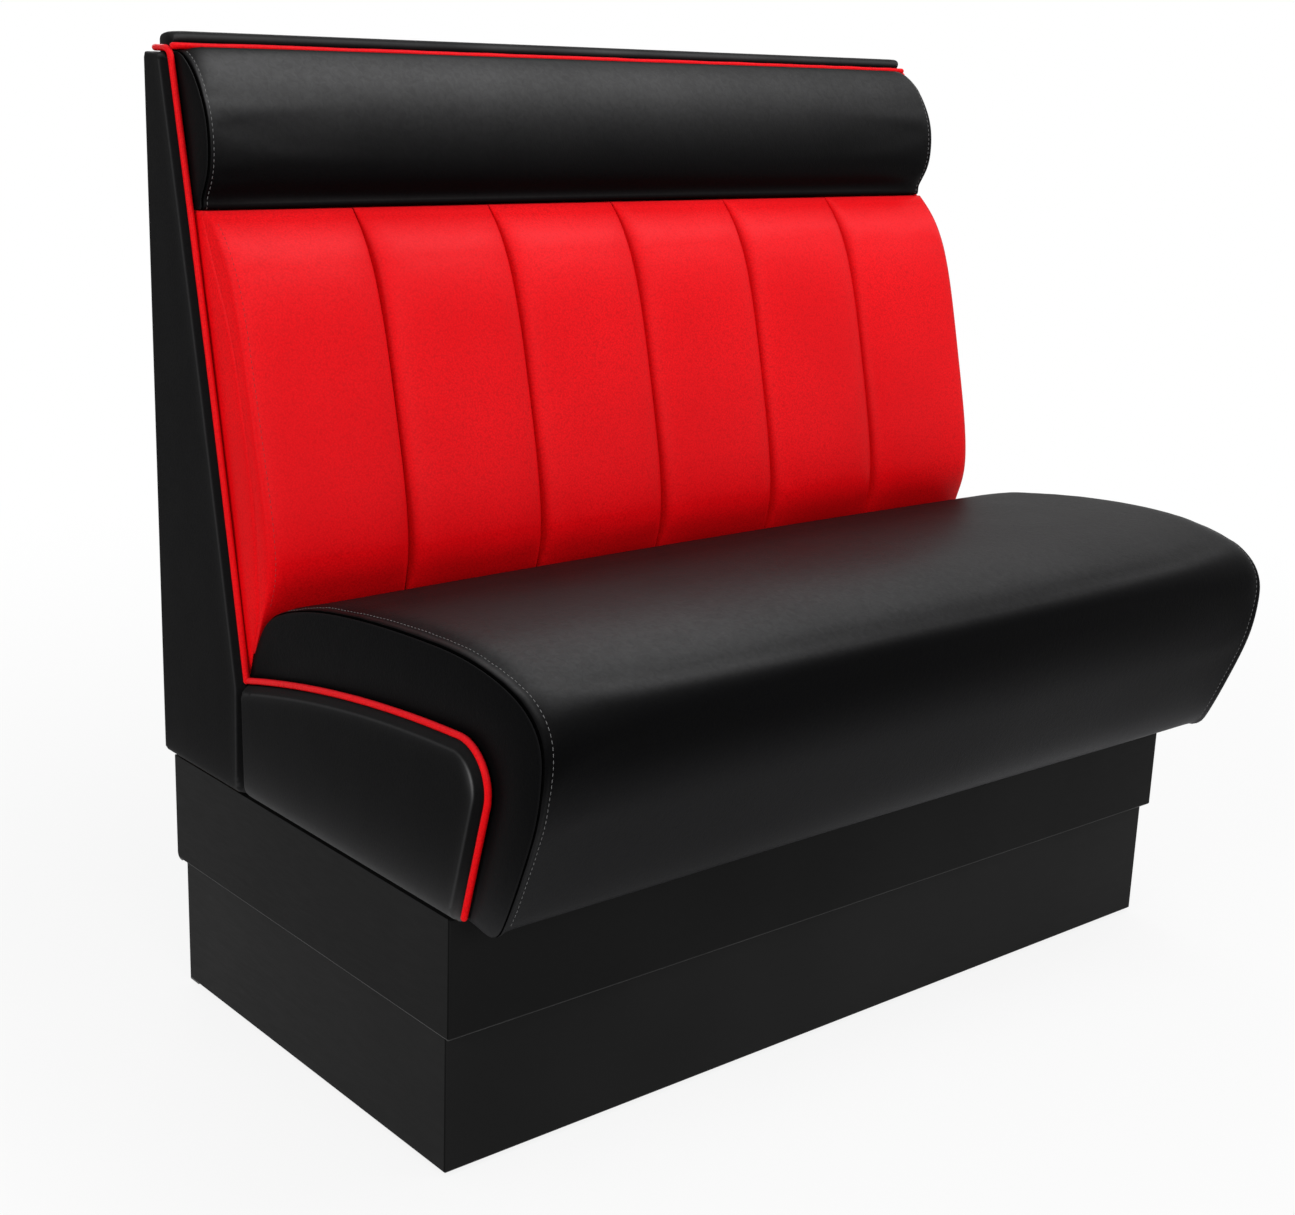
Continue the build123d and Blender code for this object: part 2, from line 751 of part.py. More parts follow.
# Cleats that drop inside the riser; their noses slope so that the seat lifts off forwards
cleat_front_y = seat_rail_front_y + board
cleat_nose_y = riser_front_y + board + cleat_nose_gap
cleat_points = (
    (cleat_front_y, cleat_top),
    (cleat_front_y, riser_top + cleat_clearance),
    (cleat_nose_y, riser_top + cleat_clearance),
    (cleat_nose_y + cleat_drop, riser_top - cleat_drop),
    (cleat_nose_y + cleat_nose_depth, riser_top - cleat_drop),
    (cleat_nose_y + cleat_nose_depth, cleat_top),
)
with BuildPart() as seat_cleats:
    for side in (-1, 1):
        cleat_xs = sorted((side * cleat_x[0], side * cleat_x[1]))
        add(profile_board(cleat_points, *cleat_xs))
save(seat_cleats.part, "seat_cleats")

# Sinuous springs, front to back, held by clips on the rails
spring_pitch = (spring_rear_y - spring_front_y) / spring_runs
spring_xs = [(index - (spring_count - 1) / 2) * spring_spacing for index in range(spring_count)]


def sinuous_spring(x):
    turn_radius = spring_pitch / 2
    straight = spring_half_width - turn_radius
    with BuildPart() as piece:
        with BuildLine(Plane.XY.offset(spring_z)) as path:
            for run in range(spring_runs + 1):
                y = spring_front_y + run * spring_pitch
                side = 1 if run % 2 == 0 else -1
                Line((x - side * straight, y), (x + side * straight, y))
                if run < spring_runs:
                    ThreePointArc(
                        (x + side * straight, y),
                        (x + side * spring_half_width, y + turn_radius),
                        (x + side * straight, y + spring_pitch),
                    )
        with BuildSketch(Plane(origin=path.line @ 0, z_dir=path.line % 0)):
            Circle(spring_wire_radius)
        sweep(path=path.line)
    return piece.part


with BuildPart() as seat_springs:
    for spring_x in spring_xs:
        add(sinuous_spring(spring_x))
save(seat_springs.part, "seat_springs")


def spring_clips_on(rail_y, ring_y):
    """Clips on one rail: a plate on the rail's top edge and an eye round the spring's end bar."""
    plate_low = min(rail_y, ring_y)
    plate_high = max(rail_y, ring_y)
    with BuildPart() as piece:
        for spring_x in spring_xs:
            with BuildSketch(Plane.YZ.offset(spring_x - clip_width / 2)):
                with Locations(((plate_low + plate_high) / 2, seat_rail_top + clip_thickness / 2)):
                    Rectangle(plate_high - plate_low, clip_thickness)
                with Locations((ring_y, spring_z)):
                    Circle(clip_ring_radius)
                    Circle(spring_wire_radius + clip_clearance, mode=Mode.SUBTRACT)
            extrude(amount=clip_width)
    return piece.part


with BuildPart() as spring_clips:
    add(spring_clips_on(seat_rail_front_y + clip_margin, spring_front_y))
    add(spring_clips_on(seat_rail_rear_y - clip_margin, spring_rear_y))
save(spring_clips.part, "spring_clips")


# Seat cushion: crowned, drawn in at both ends, with a rolled front edge
def seat_outline(drop, inset):
    """Edges of the cushion's section; inset gives the foam under the cover."""
    rear_bend, top_rear, top_middle, top_front, brow_middle = [
        moved(point, drop, inset)
        for point in (seat_rear_bend, seat_top_rear, seat_top_middle, seat_top_front, seat_brow_middle)
    ]
    brow, nose_middle, nose, front_middle, front_low = [
        moved(point, drop, inset)
        for point in (seat_brow, seat_nose_middle, seat_nose, seat_front_middle, seat_front_low)
    ]
    rail_y = seat_rail_front_y - seat_rail_gap
    ThreePointArc(top_rear, top_middle, top_front)
    ThreePointArc(top_front, brow_middle, brow)
    ThreePointArc(brow, nose_middle, nose)
    ThreePointArc(nose, front_middle, front_low)
    Polyline(
        front_low,
        (rail_y, seat_cover_bottom),
        (rail_y, seat_foam_bottom),
        (rear_bend[0], seat_foam_bottom),
        rear_bend,
        top_rear,
    )


with BuildPart() as seat_foam:
    for station_x, drop in seat_stations:
        with BuildSketch(Plane.YZ.offset(station_x)):
            with BuildLine():
                seat_outline(drop, skin)
            make_face()
    loft(ruled=True)
save(seat_foam.part, "seat_foam")

with BuildPart() as seat_cover:
    for station_x, drop in seat_stations:
        with BuildSketch(Plane.YZ.offset(station_x)):
            with BuildLine():
                seat_outline(drop, 0.0)
            make_face()
    loft(ruled=True)
    add(seat_foam.part, mode=Mode.SUBTRACT)
save(seat_cover.part, "seat_cover")


def seat_boxing(side):
    with BuildPart() as piece:
        with BuildSketch(Plane.YZ.offset(side * cushion_half)):
            with BuildLine():
                seat_outline(seat_stations[0][1], 0.0)
            make_face()
        extrude(amount=side * boxing_thickness)
    return piece.part


save(seat_boxing(-1), "seat_left_boxing")
save(seat_boxing(1), "seat_right_boxing")


def corner_point(radius, turned):
    """Point on the rounded front corner after turning down by the given angle."""
    return (
        welt_corner[0] - radius * sin(radians(turned)),
        welt_corner[1] + radius * cos(radians(turned)),
    )


def raked_to(radius, height):
    """Point at the given height on the raked line below the corner."""
    start = corner_point(radius, welt_rake)
    return (start[0] + (start[1] - height) * tan(radians(welt_rake - 90)), height)


def seat_welt(side):
    with BuildPart() as piece:
        with BuildLine(Plane.YZ.offset(side * welt_x)) as path:
            ThreePointArc(welt_rear, welt_middle, corner_point(seat_welt_corner, 0))
            ThreePointArc(
                corner_point(seat_welt_corner, 0),
                corner_point(seat_welt_corner, welt_rake / 2),
                corner_point(seat_welt_corner, welt_rake),
            )
            Line(corner_point(seat_welt_corner, welt_rake), raked_to(seat_welt_corner, seat_welt_foot))
        with BuildSketch(Plane(origin=path.line @ 0, z_dir=path.line % 0)):
            Circle(welt_radius)
        sweep(path=path.line)
    return piece.part


save(seat_welt(-1), "seat_left_welt")
save(seat_welt(1), "seat_right_welt")


# Padded end panel of the seat, its edge just inside the welt
def seat_panel(side):
    drop = welt_radius + welt_gap
    edge = seat_welt_corner - drop
    with BuildPart() as piece:
        with BuildSketch(Plane.YZ.offset(side * panel_inner_x)):
            with BuildLine():
                ThreePointArc(
                    seat_panel_rear,
                    (welt_middle[0], welt_middle[1] - drop),
                    corner_point(edge, 0),
                )
                ThreePointArc(
                    corner_point(edge, 0),
                    corner_point(edge, welt_rake / 2),
                    corner_point(edge, welt_rake),
                )
                Polyline(
                    corner_point(edge, welt_rake),
                    raked_to(edge, panel_bottom),
                    (seat_panel_foot_y, panel_bottom),
                    seat_panel_rear,
                )
            make_face()
        extrude(amount=side * panel_thickness)
        outer_face = piece.faces().sort_by(Axis.X)[-1 if side > 0 else 0]
        fillet(outer_face.edges(), panel_round)
    return piece.part


save(seat_panel(-1), "seat_left_panel")
save(seat_panel(1), "seat_right_panel")
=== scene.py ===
"""Restaurant booth bench: padding, piping, stitching and finishes round the bench's solid frame.

X runs along the bench, Y runs to the back and Z runs up. Lengths are in metres.
"""

from math import acos, cos, hypot, pi, radians, sin, tan

import bpy
import numpy as np
from bpy.props import FloatProperty, FloatVectorProperty, PointerProperty
from bpy.types import Operator, Panel, PropertyGroup
from mathutils import Matrix, Vector, noise
from mathutils.geometry import delaunay_2d_cdt


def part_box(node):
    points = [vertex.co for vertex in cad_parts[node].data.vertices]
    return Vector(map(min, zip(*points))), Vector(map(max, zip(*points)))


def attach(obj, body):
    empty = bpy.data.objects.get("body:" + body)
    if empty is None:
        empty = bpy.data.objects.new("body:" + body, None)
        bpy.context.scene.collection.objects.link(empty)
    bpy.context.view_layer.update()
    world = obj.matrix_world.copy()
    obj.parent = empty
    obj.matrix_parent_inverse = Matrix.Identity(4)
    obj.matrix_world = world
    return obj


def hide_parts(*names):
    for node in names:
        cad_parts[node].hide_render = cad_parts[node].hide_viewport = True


bl_info = {
    "name": "Restaurant Booth Bench",
    "version": (1, 0, 0),
    "blender": (4, 5, 0),
    "location": "View3D > Sidebar > Booth",
    "description": "Padding, piping, stitching and finishes round the solid frame of a booth bench",
    "category": "Object",
}

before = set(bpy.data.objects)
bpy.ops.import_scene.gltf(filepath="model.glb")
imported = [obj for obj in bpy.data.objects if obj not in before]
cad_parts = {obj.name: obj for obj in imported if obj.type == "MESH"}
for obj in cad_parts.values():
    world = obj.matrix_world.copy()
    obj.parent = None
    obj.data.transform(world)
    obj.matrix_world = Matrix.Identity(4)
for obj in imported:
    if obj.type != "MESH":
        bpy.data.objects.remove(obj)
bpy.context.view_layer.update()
MM = 0.001

# Planes that the padding is built on, read from the solid frame
cushion_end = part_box("seat_cover")[1].x
panel_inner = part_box("seat_right_panel")[0].x
panel_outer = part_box("seat_right_panel")[1].x
panel_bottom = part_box("back_right_wing")[0].z
wing_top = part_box("back_right_wing")[1].z
rear_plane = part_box("back_right_wing")[1].y
cap_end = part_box("top_cap")[1].x
piping_radius = (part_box("top_welt")[1].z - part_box("top_welt")[0].z) / 2
piping_plane = (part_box("seat_right_welt")[0].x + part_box("seat_right_welt")[1].x) / 2
channel_count = 6
channel_width = 2 * cushion_end / channel_count

# Side views of the padding, as (y, z) in millimetres
SEAT_SEAM = (
    (149, 352), (139.5, 376), (128.5, 396), (119, 409), (107, 419), (88, 428), (56, 438), (-10, 450),
    (-72, 456), (-131, 459), (-186, 459), (-220, 455), (-246, 449), (-268, 440), (-284, 427),
    (-292, 411), (-293, 391), (-288, 357), (-276, 321), (-260, 282), (-247, 254), (-241, 245),
    (-233, 240.2), (-219, 240.8), (-200, 243.4),
)
SEAT_CROWN = (
    (149, 352), (138.5, 378), (128, 398), (119, 414), (106, 426), (84, 435), (56, 444), (-13, 458),
    (-82, 466.5), (-140, 470), (-186, 469.5), (-220, 465.5), (-246, 459), (-270, 448.5), (-287.5, 433),
    (-296, 410), (-295, 391), (-287.5, 354), (-275, 321), (-259, 283), (-247, 256), (-240, 246.5),
    (-231, 241.6), (-217, 241.6), (-200, 243.4),
)
ROLL_SEAM = (
    (262, 900), (256, 899.5), (242, 893.5), (228, 882), (216, 866), (207.5, 849), (203.5, 832),
    (203, 816), (205, 802), (210, 790), (216, 780), (218.5, 773), (219, 767), (224, 765.6),
    (236, 765.5),
)
ROLL_CROWN = (
    (262, 902), (254, 904.5), (244.5, 903.5), (233, 896.5), (220, 881.5), (209, 859.5), (203, 834),
    (202, 815), (204, 799), (208.5, 787), (213.5, 779), (215.5, 772.5), (216, 767), (221, 765.6),
    (236, 765.5),
)
# Height, crest and seam of the back's channels, in millimetres
CHANNEL_RUN = (
    (378, 139, 141), (396, 131, 134.5), (427, 117.5, 129), (445, 110, 130), (481, 107.5, 132),
    (538, 118.5, 139), (601, 134, 153), (652, 146.5, 167), (694, 158, 185), (719, 168.5, 198),
    (741, 183.5, 208), (757, 201, 215), (765, 212.5, 218.5),
)
# Front of the back's padded ends and of its board, as (y, z) in millimetres
SLOPE_LOW = (147.0, 344.0)
SLOPE_HIGH = (263.0, 897.0)
SLOPE_BOW = 2.5
BOARD_SETBACK = 8.2
WING_FOOT = 149.5
BOXING_FOOT = 350.5
# The seat's padded ends, their piping and the gap beside it, the top piping and the seat's underside,
# as (y, z) in millimetres
SEAT_PANEL_REAR = (141.6, 348.5)
SEAT_PANEL_FOOT = 138.9
WELT_CORNER = (-194.0, 359.5)
WELT_CORNER_RADIUS = 38.0
WELT_RAKE = acos(-0.2706)
WELT_REAR = (139.8, 353.4)
WELT_MIDDLE = (-30.0, 384.3)
WELT_FOOT = 247.5
WELT_GAP = 0.3
TOP_WELT = (260.3, 904.8)
SEAT_RAIL_FRONT = -190.2
FOAM_BOTTOM = 342.0
# A padded panel's border points, as depths in millimetres, its inner points' spacing, its crown, the painted
# highlight on its border's ridge, and where the seat ends' ridge has a painted glint, as (y, z) in
# millimetres
BORDER_DEPTHS = (0.5, 1.2, 2.2, 3.2, 3.9, 4.5, 5.1, 5.7, 6.3, 7.0, 8.2, 10.2, 12.6, 15.5)
PANEL_GRID = 7 * MM
PANEL_CROWN = 0.6 * MM
RIDGE_HIGHLIGHT = 0.17
PANEL_GLEAM = (-223.5, 372.5)
# A stitch from end to end: place along it, thickness and lift, as shares of its own sizes
STITCH_SHAPE = (
    (-1.0, 0.15, -0.9), (-0.72, 0.8, -0.15), (0.0, 1.0, 0.15), (0.72, 0.8, -0.15), (1.0, 0.15, -0.9),
)
STITCH_SIDES = 6
PIPING_SIDES = 16
PIPING_WOBBLE = 0.025
CLOTH_STEPS = 20
SIDES = (("left", -1), ("right", 1))

# The photograph's viewpoint, in metres and degrees
CAMERA_PLACE = (-1.29831, -1.38941, 0.90759)
CAMERA_YAW = 40.381
CAMERA_PITCH = 15.482
CAMERA_ROLL = 2.081
CAMERA_LENS = 55.0

# Name, place, target, width, height and power of each lamp
LAMPS = (
    ("overhead", (0.5, -0.6, 2.0), (-0.05, 0.05, 0.6), 1.0, 0.8, 15.0),
    ("front", (-0.6, -3.0, 1.6), (0.0, 0.1, 0.5), 1.8, 1.0, 31.0),
    ("left", (-3.2, -0.6, 1.4), (-0.2, 0.0, 0.45), 0.9, 1.6, 37.0),
    ("right", (3.0, -1.3, 1.6), (0.2, 0.0, 0.5), 0.9, 1.4, 3.0),
    ("behind", (0.6, 2.8, 1.9), (0.0, 0.2, 0.6), 1.8, 1.0, 18.0),
)


class BoothSizes(PropertyGroup):
    """Sizes of the padding and stitching that can be changed."""

    swell: FloatProperty(
        name="Swell", description="How far the cloth may lift while it is blown up",
        default=5 * MM, min=0.0, max=0.02, unit="LENGTH")
    pressure: FloatProperty(
        name="Pressure", description="Pressure that blows the covers up", default=4.0, min=0.0, max=20.0)
    channel_squareness: FloatProperty(
        name="Channel Squareness", description="How flat a channel is between its seams",
        default=4.0, min=2.0, max=6.0)
    seam_depth: FloatProperty(
        name="Seam Depth", description="How far a sewn seam is pulled in",
        default=1.6 * MM, min=0.0, max=0.01, unit="LENGTH")
    stitch_length: FloatProperty(
        name="Stitch Length", description="Length of one stitch", default=3.6 * MM, min=0.001, max=0.01,
        unit="LENGTH")
    stitch_gap: FloatProperty(
        name="Stitch Gap", description="Space between stitches", default=1.5 * MM, min=0.0, max=0.01,
        unit="LENGTH")
    piping: FloatProperty(
        name="Piping", description="Thickness of the piping", default=5.9 * MM, min=0.003, max=0.012,
        unit="LENGTH")
    thread: FloatProperty(
        name="Thread", description="Thickness of the sewing thread", default=0.6 * MM, min=0.0002, max=0.003,
        unit="LENGTH")


class BoothColours(PropertyGroup):
    """Colours of the finishes, linear."""

    red: FloatVectorProperty(
        name="Red Vinyl", description="Channels, boxings and piping", default=(0.8, 0.003, 0.006), size=3,
        min=0.0, max=1.0, subtype="COLOR")
    black: FloatVectorProperty(
        name="Black Vinyl", description="Seat and head roll", default=(0.0025, 0.0025, 0.0027), size=3,
        min=0.0, max=1.0, subtype="COLOR")
    panel: FloatVectorProperty(
        name="Panel Vinyl", description="Padded ends and cap", default=(0.005, 0.005, 0.0052), size=3,
        min=0.0, max=1.0, subtype="COLOR")
    laminate: FloatVectorProperty(
        name="Laminate", description="Boards of the base", default=(0.008, 0.008, 0.008), size=3,
        min=0.0, max=1.0, subtype="COLOR")
    thread: FloatVectorProperty(
        name="Thread", description="Topstitching on black", default=(0.15, 0.15, 0.15), size=3,
        min=0.0, max=1.0, subtype="COLOR")
    red_thread: FloatVectorProperty(
        name="Red Thread", description="Topstitching on red", default=(0.33, 0.006, 0.009), size=3,
        min=0.0, max=1.0, subtype="COLOR")


# Curves


def run_of(points):
    """Distance along a line at each of its points."""
    return np.concatenate([[0.0], np.cumsum(np.linalg.norm(np.diff(points, axis=0), axis=1))])


def through(points, count):
    """Smooth curve through the points, as evenly spaced points."""
    p = np.array(points, float)
    run = run_of(p)
    return evenly(cubic(run, p, np.linspace(0.0, run[-1], count * 12)), count)


def cubic(t, p, at):
    """Values at the given places of the cubic spline through p at t."""
    p = np.array(p, float)
    h = np.diff(t)
    n = len(t)
    a = np.eye(n)
    b = np.zeros_like(p)
    for i in range(1, n - 1):
        a[i, i - 1], a[i, i], a[i, i + 1] = h[i - 1], 2 * (h[i - 1] + h[i]), h[i]
        b[i] = 6 * ((p[i + 1] - p[i]) / h[i] - (p[i] - p[i - 1]) / h[i - 1])
    m = np.linalg.solve(a, b)
    k = np.clip(np.searchsorted(t, at) - 1, 0, n - 2)
    hk = h[k]
    u, v = at - t[k], t[k + 1] - at
    if p.ndim > 1:
        hk, u, v = hk[:, None], u[:, None], v[:, None]
    curve = (m[k] * v**3 + m[k + 1] * u**3) / (6 * hk)
    return curve + (p[k] / hk - m[k] * hk / 6) * v + (p[k + 1] / hk - m[k + 1] * hk / 6) * u


def evenly(points, count):
    """The same line with evenly spaced points."""
    run = run_of(points)
    at = np.linspace(0.0, run[-1], count)
    return np.stack([np.interp(at, run, points[:, k]) for k in range(points.shape[1])], axis=1)


def arc(first, middle, last, count):
    """Arc from first to last through middle, in a plane."""
    (ax, ay), (bx, by), (cx, cy) = first, middle, last
    d = 2 * (ax * (by - cy) + bx * (cy - ay) + cx * (ay - by))
    ux = ((ax**2 + ay**2) * (by - cy) + (bx**2 + by**2) * (cy - ay) + (cx**2 + cy**2) * (ay - by)) / d
    uy = ((ax**2 + ay**2) * (cx - bx) + (bx**2 + by**2) * (ax - cx) + (cx**2 + cy**2) * (bx - ax)) / d
    centre = np.array([ux, uy])
    a, b, c = (np.arctan2(*(np.array(q) - centre)[::-1]) for q in (first, middle, last))
    turn = (c - a) % (2 * pi)
    if (b - a) % (2 * pi) > turn:
        turn -= 2 * pi
    around = a + np.linspace(0.0, turn, count)
    radius = np.linalg.norm(np.array(first) - centre)
    return centre + radius * np.stack([np.cos(around), np.sin(around)], axis=1)


def slope_share(z):
    """Share of the slope's height that is reached at height z, in millimetres."""
    return (z - SLOPE_LOW[1]) / (SLOPE_HIGH[1] - SLOPE_LOW[1])


def slope_y(z):
    """Front edge of the back's padded ends at height z, in millimetres."""
    t = slope_share(z)
    return SLOPE_LOW[0] + (SLOPE_HIGH[0] - SLOPE_LOW[0]) * t - 4 * SLOPE_BOW * t * (1 - t)


def board_y(z):
    """Front of the back's sloped board at height z, in millimetres."""
    return SLOPE_LOW[0] + (SLOPE_HIGH[0] - SLOPE_LOW[0]) * slope_share(z) + BOARD_SETBACK


def corner_point(radius, turned):
    """Point on the seat end's rounded front corner, in millimetres."""
    return (WELT_CORNER[0] - radius * sin(turned), WELT_CORNER[1] + radius * cos(turned))


def raked_to(radius, height):
    """Point at a height on the raked line below the corner, in millimetres."""
    start = corner_point(radius, WELT_RAKE)
    return (start[0] + (start[1] - height) * tan(WELT_RAKE - pi / 2), height)


def seat_end_line(inset, rear, foot):
    """Line of the seat's padded end from the rear to its foot, inset from the piping's line."""
    radius = WELT_CORNER_RADIUS - inset
    top = arc(rear, (WELT_MIDDLE[0], WELT_MIDDLE[1] - inset), corner_point(radius, 0.0), 60)
    turns = np.linspace(0.0, WELT_RAKE, 28)[1:]
    corner = np.array([corner_point(radius, a) for a in turns])
    low = np.linspace(corner[-1], raked_to(radius, foot), 20)[1:]
    return np.concatenate([top, corner, low])


# Shares


def smoothstep(value):
    """Smooth rise from 0 to 1."""
    value = np.clip(value, 0.0, 1.0)
    return value * value * (3 - 2 * value)


def bell(distance, width):
    """1 at no distance, falling off like a bell of the given width."""
    return np.exp(-((distance / width) ** 2))


def fading(distance, width):
    """1 at no distance, fading away over the given width."""
    return np.exp(-distance / width)


def unit(vectors):
    """The vectors at length 1."""
    return vectors / np.maximum(np.linalg.norm(vectors, axis=-1, keepdims=True), 1e-12)


# Meshes


def add_piece(name, vertices, faces, materials, body, face_materials=None, rubbed=None):
    """A smooth mesh piece that rides on a body of the frame; rubbed is its vertices' share of wear."""
    mesh = bpy.data.meshes.new(name)
    mesh.from_pydata([tuple(v) for v in vertices], [], faces)
    mesh.validate()
    for material in materials:
        mesh.materials.append(material)
    if face_materials is not None:
        mesh.polygons.foreach_set("material_index", np.array(face_materials, np.int32))
    mesh.polygons.foreach_set("use_smooth", np.ones(len(mesh.polygons), bool))
    if rubbed is not None:
        highlight_share = mesh.attributes.new("rubbed", "FLOAT", "POINT")
        highlight_share.data.foreach_set("value", np.array(rubbed, np.float32))
    mesh.update()
    piece = bpy.data.objects.new(name, mesh)
    bpy.context.scene.collection.objects.link(piece)
    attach(piece, body)
    return piece


def grid_faces(rows, columns, start=0, close=False, flip=False):
    """Quads of a grid of points, row by row; close joins the last row to the first."""
    faces = []
    for i in range(rows if close else rows - 1):
        for j in range(columns - 1):
            a, b = start + i * columns + j, start + ((i + 1) % rows) * columns + j
            quad = (a, a + 1, b + 1, b)
            faces.append(quad[::-1] if flip else quad)
    return faces


def grid_normals(grid):
    """Unit normals of a grid of points."""
    return unit(np.cross(np.gradient(grid, axis=0), np.gradient(grid, axis=1)))


def tube_faces(rings, sides, start=0, flip=False):
    """Quads round a closed tube of rings of points, and a face over each of its ends."""
    faces = []
    for i in range(rings - 1):
        for j in range(sides):
            a, b = start + i * sides + j, start + i * sides + (j + 1) % sides
            faces.append((a, a + sides, b + sides, b) if flip else (a, b, b + sides, a + sides))
    last = start + (rings - 1) * sides
    ends = tuple(range(start, start + sides)), tuple(range(last, last + sides))
    return faces + ([ends[0], ends[1][::-1]] if flip else [ends[0][::-1], ends[1]])


def tube(points, radius, sides, wobble):
    """Vertices and faces of a round cord along the points, with rounded ends; wobble is how uneven it is."""
    p = np.array(points, float)
    tangent = unit(np.gradient(p, axis=0))
    side = np.cross(tangent[0], (1.0, 0.0, 0.0))
    if np.linalg.norm(side) < 1e-6:
        side = np.cross(tangent[0], (0.0, 0.0, 1.0))
    across = []
    for t in tangent:
        side = unit(side - t * np.dot(side, t))
        across.append(side)
    caps = [(sin(acos(c)), c) for c in (0.12, 0.4, 0.7, 0.92)]
    order = [(0, -ahead, c) for ahead, c in caps] + [(i, 0.0, 1.0) for i in range(len(p))]
    order += [(len(p) - 1, ahead, c) for ahead, c in caps[::-1]]
    around = np.linspace(0.0, 2 * pi, sides, endpoint=False)
    rings = []
    for i, ahead, share in order:
        swell = 1 + wobble * noise.noise(Vector(p[i]) * 90.0)
        over = np.cross(tangent[i], across[i])
        beside = np.outer(np.cos(around), across[i]) + np.outer(np.sin(around), over)
        rings.append(p[i] + tangent[i] * ahead * radius + radius * swell * share * beside)
    return np.concatenate(rings), tube_faces(len(rings), sides)


def stitches(line, normals, length, gap, thickness):
    """Vertices and faces of a row of stitches laid on a line with surface normals."""
    run = run_of(line)
    pitch = length + gap
    vertices, faces = [], []
    for k in range(int(run[-1] / pitch)):
        middle = (k + 0.5) * pitch
        at = np.array([middle + share * length / 2 for share, _, _ in STITCH_SHAPE])
        centres = np.stack([np.interp(at, run, line[:, c]) for c in range(3)], axis=1)
        normal = unit(np.array([np.interp(middle, run, normals[:, c]) for c in range(3)]))
        beside = np.cross(unit(centres[-1] - centres[0]), normal)
        faces += tube_faces(len(STITCH_SHAPE), STITCH_SIDES, len(vertices), flip=True)
        for centre, (_, thick, lift) in zip(centres, STITCH_SHAPE):
            raised = centre + normal * lift * thickness / 2
            for j in range(STITCH_SIDES):
                angle = 2 * pi * j / STITCH_SIDES
                out = cos(angle) * beside + sin(angle) * normal
                vertices.append(raised + thick * thickness / 2 * out)
    return vertices, faces


def distance_to(line, points):
    """Distance of each point to an open line."""
    best = np.full(len(points), 1e9)
    for a, b in zip(line[:-1], line[1:]):
        d = b - a
        t = np.clip(((points - a) @ d) / max(d @ d, 1e-12), 0.0, 1.0)
        best = np.minimum(best, np.linalg.norm(points - (a + t[:, None] * d), axis=1))
    return best


def inward_of(outline):
    """Directions into a closed outline at its points, long enough to keep its sides parallel."""
    after = np.roll(outline, -1, axis=0)
    d1, d2 = unit(outline - np.roll(outline, 1, axis=0)), unit(after - outline)
    n1, n2 = (np.stack([-d[:, 1], d[:, 0]], axis=1) for d in (d1, d2))
    inward = (n1 + n2) / (1 + np.sum(n1 * n2, axis=1, keepdims=True))
    area = np.sum(outline[:, 0] * after[:, 1] - after[:, 0] * outline[:, 1])
    return -inward if area < 0 else inward


def ridge_highlight(beyond):
    """Wear by the distance beyond a border's ridge, which fades slower on the flat side."""
    slow = 0.6 * bell(beyond, 0.9 * MM) + 0.4 * fading(beyond, 4 * MM)
    return RIDGE_HIGHLIGHT * np.where(beyond < 0, bell(beyond, 0.7 * MM), slow)


def padded_panel(edges, side):
    """A padded end panel on one side of the bench.

    edges go round its outline, each a line, the width of its border, the height of its wall, whether the
    border is round rather than sloped, and how much it is scuffed; their lengths are in millimetres.
    Returns the vertices, the faces and the vertices' share of wear."""
    thickness = panel_outer - panel_inner - PANEL_CROWN
    outline = np.concatenate([line[:-1] for line, _, _, _, _ in edges]) * MM
    count = len(outline)
    inward = inward_of(outline)
    rings = [outline] + [outline + inward * depth * MM for depth in BORDER_DEPTHS]
    low, high = outline.min(axis=0), outline.max(axis=0)
    ys, zs = (np.arange(low[k] + PANEL_GRID, high[k], PANEL_GRID) for k in range(2))
    inside = np.array([(y, z) for z in zs for y in ys])
    rim = np.concatenate([outline, outline[:1]])
    inside = inside[distance_to(rim, inside) > BORDER_DEPTHS[-1] * MM + 2.5 * MM]
    loop = [(i, (i + 1) % count) for i in range(count)]
    points = [Vector(p) for p in np.concatenate(rings + [inside])]
    flat, _, triangles, _, _, _ = delaunay_2d_cdt(points, loop, [], 1, 1e-7)
    flat = np.array([(p.x, p.y) for p in flat])
    drop, rubbed = np.zeros(len(flat)), np.zeros(len(flat))
    for line, width, wall, is_round, painted_reflection in edges:
        width, deepest = width * MM, thickness - wall * MM
        near = distance_to(line * MM, flat)
        # Painted reflection: the colour is lightened near the edges that ask for it
        rubbed += painted_reflection * (0.55 * fading(near, 6 * MM) + 0.3 * fading(near, 24 * MM))
        if is_round:
            share = np.clip(1 - near / width, 0.0, 1.0)
            fall = deepest * (1 - np.sqrt(1 - share**2))
        else:
            sharp = 0.16 * width  # over this the ridge is rounded
            fall = deepest / width * sharp * np.log1p(np.exp(np.clip((width - near) / sharp, -30, 30)))
            # Painted highlight along a sloped border's ridge
            rubbed += ridge_highlight(near - width - 0.2 * MM)
        drop = np.maximum(drop, fall)
    to_rim = distance_to(rim, flat)
    height = np.maximum(thickness - drop + PANEL_CROWN * (1 - fading(to_rim, 45 * MM)), 2 * MM)
    for i, (y, z) in enumerate(flat):
        dents = 0.35 * MM * noise.noise(Vector((y, z, side)) * 24.0)
        height[i] += dents * smoothstep(to_rim[i] / (20 * MM))
    vertices = np.stack([side * (panel_inner + height), flat[:, 0], flat[:, 1]], axis=1)
    faces = [tuple(f) for f in triangles]
    a, b, c = (vertices[i] for i in faces[0])
    if np.cross(b - a, c - a)[0] * side < 0:
        faces = [f[::-1] for f in faces]
    return closed_behind(vertices, faces, rubbed, side * panel_inner)


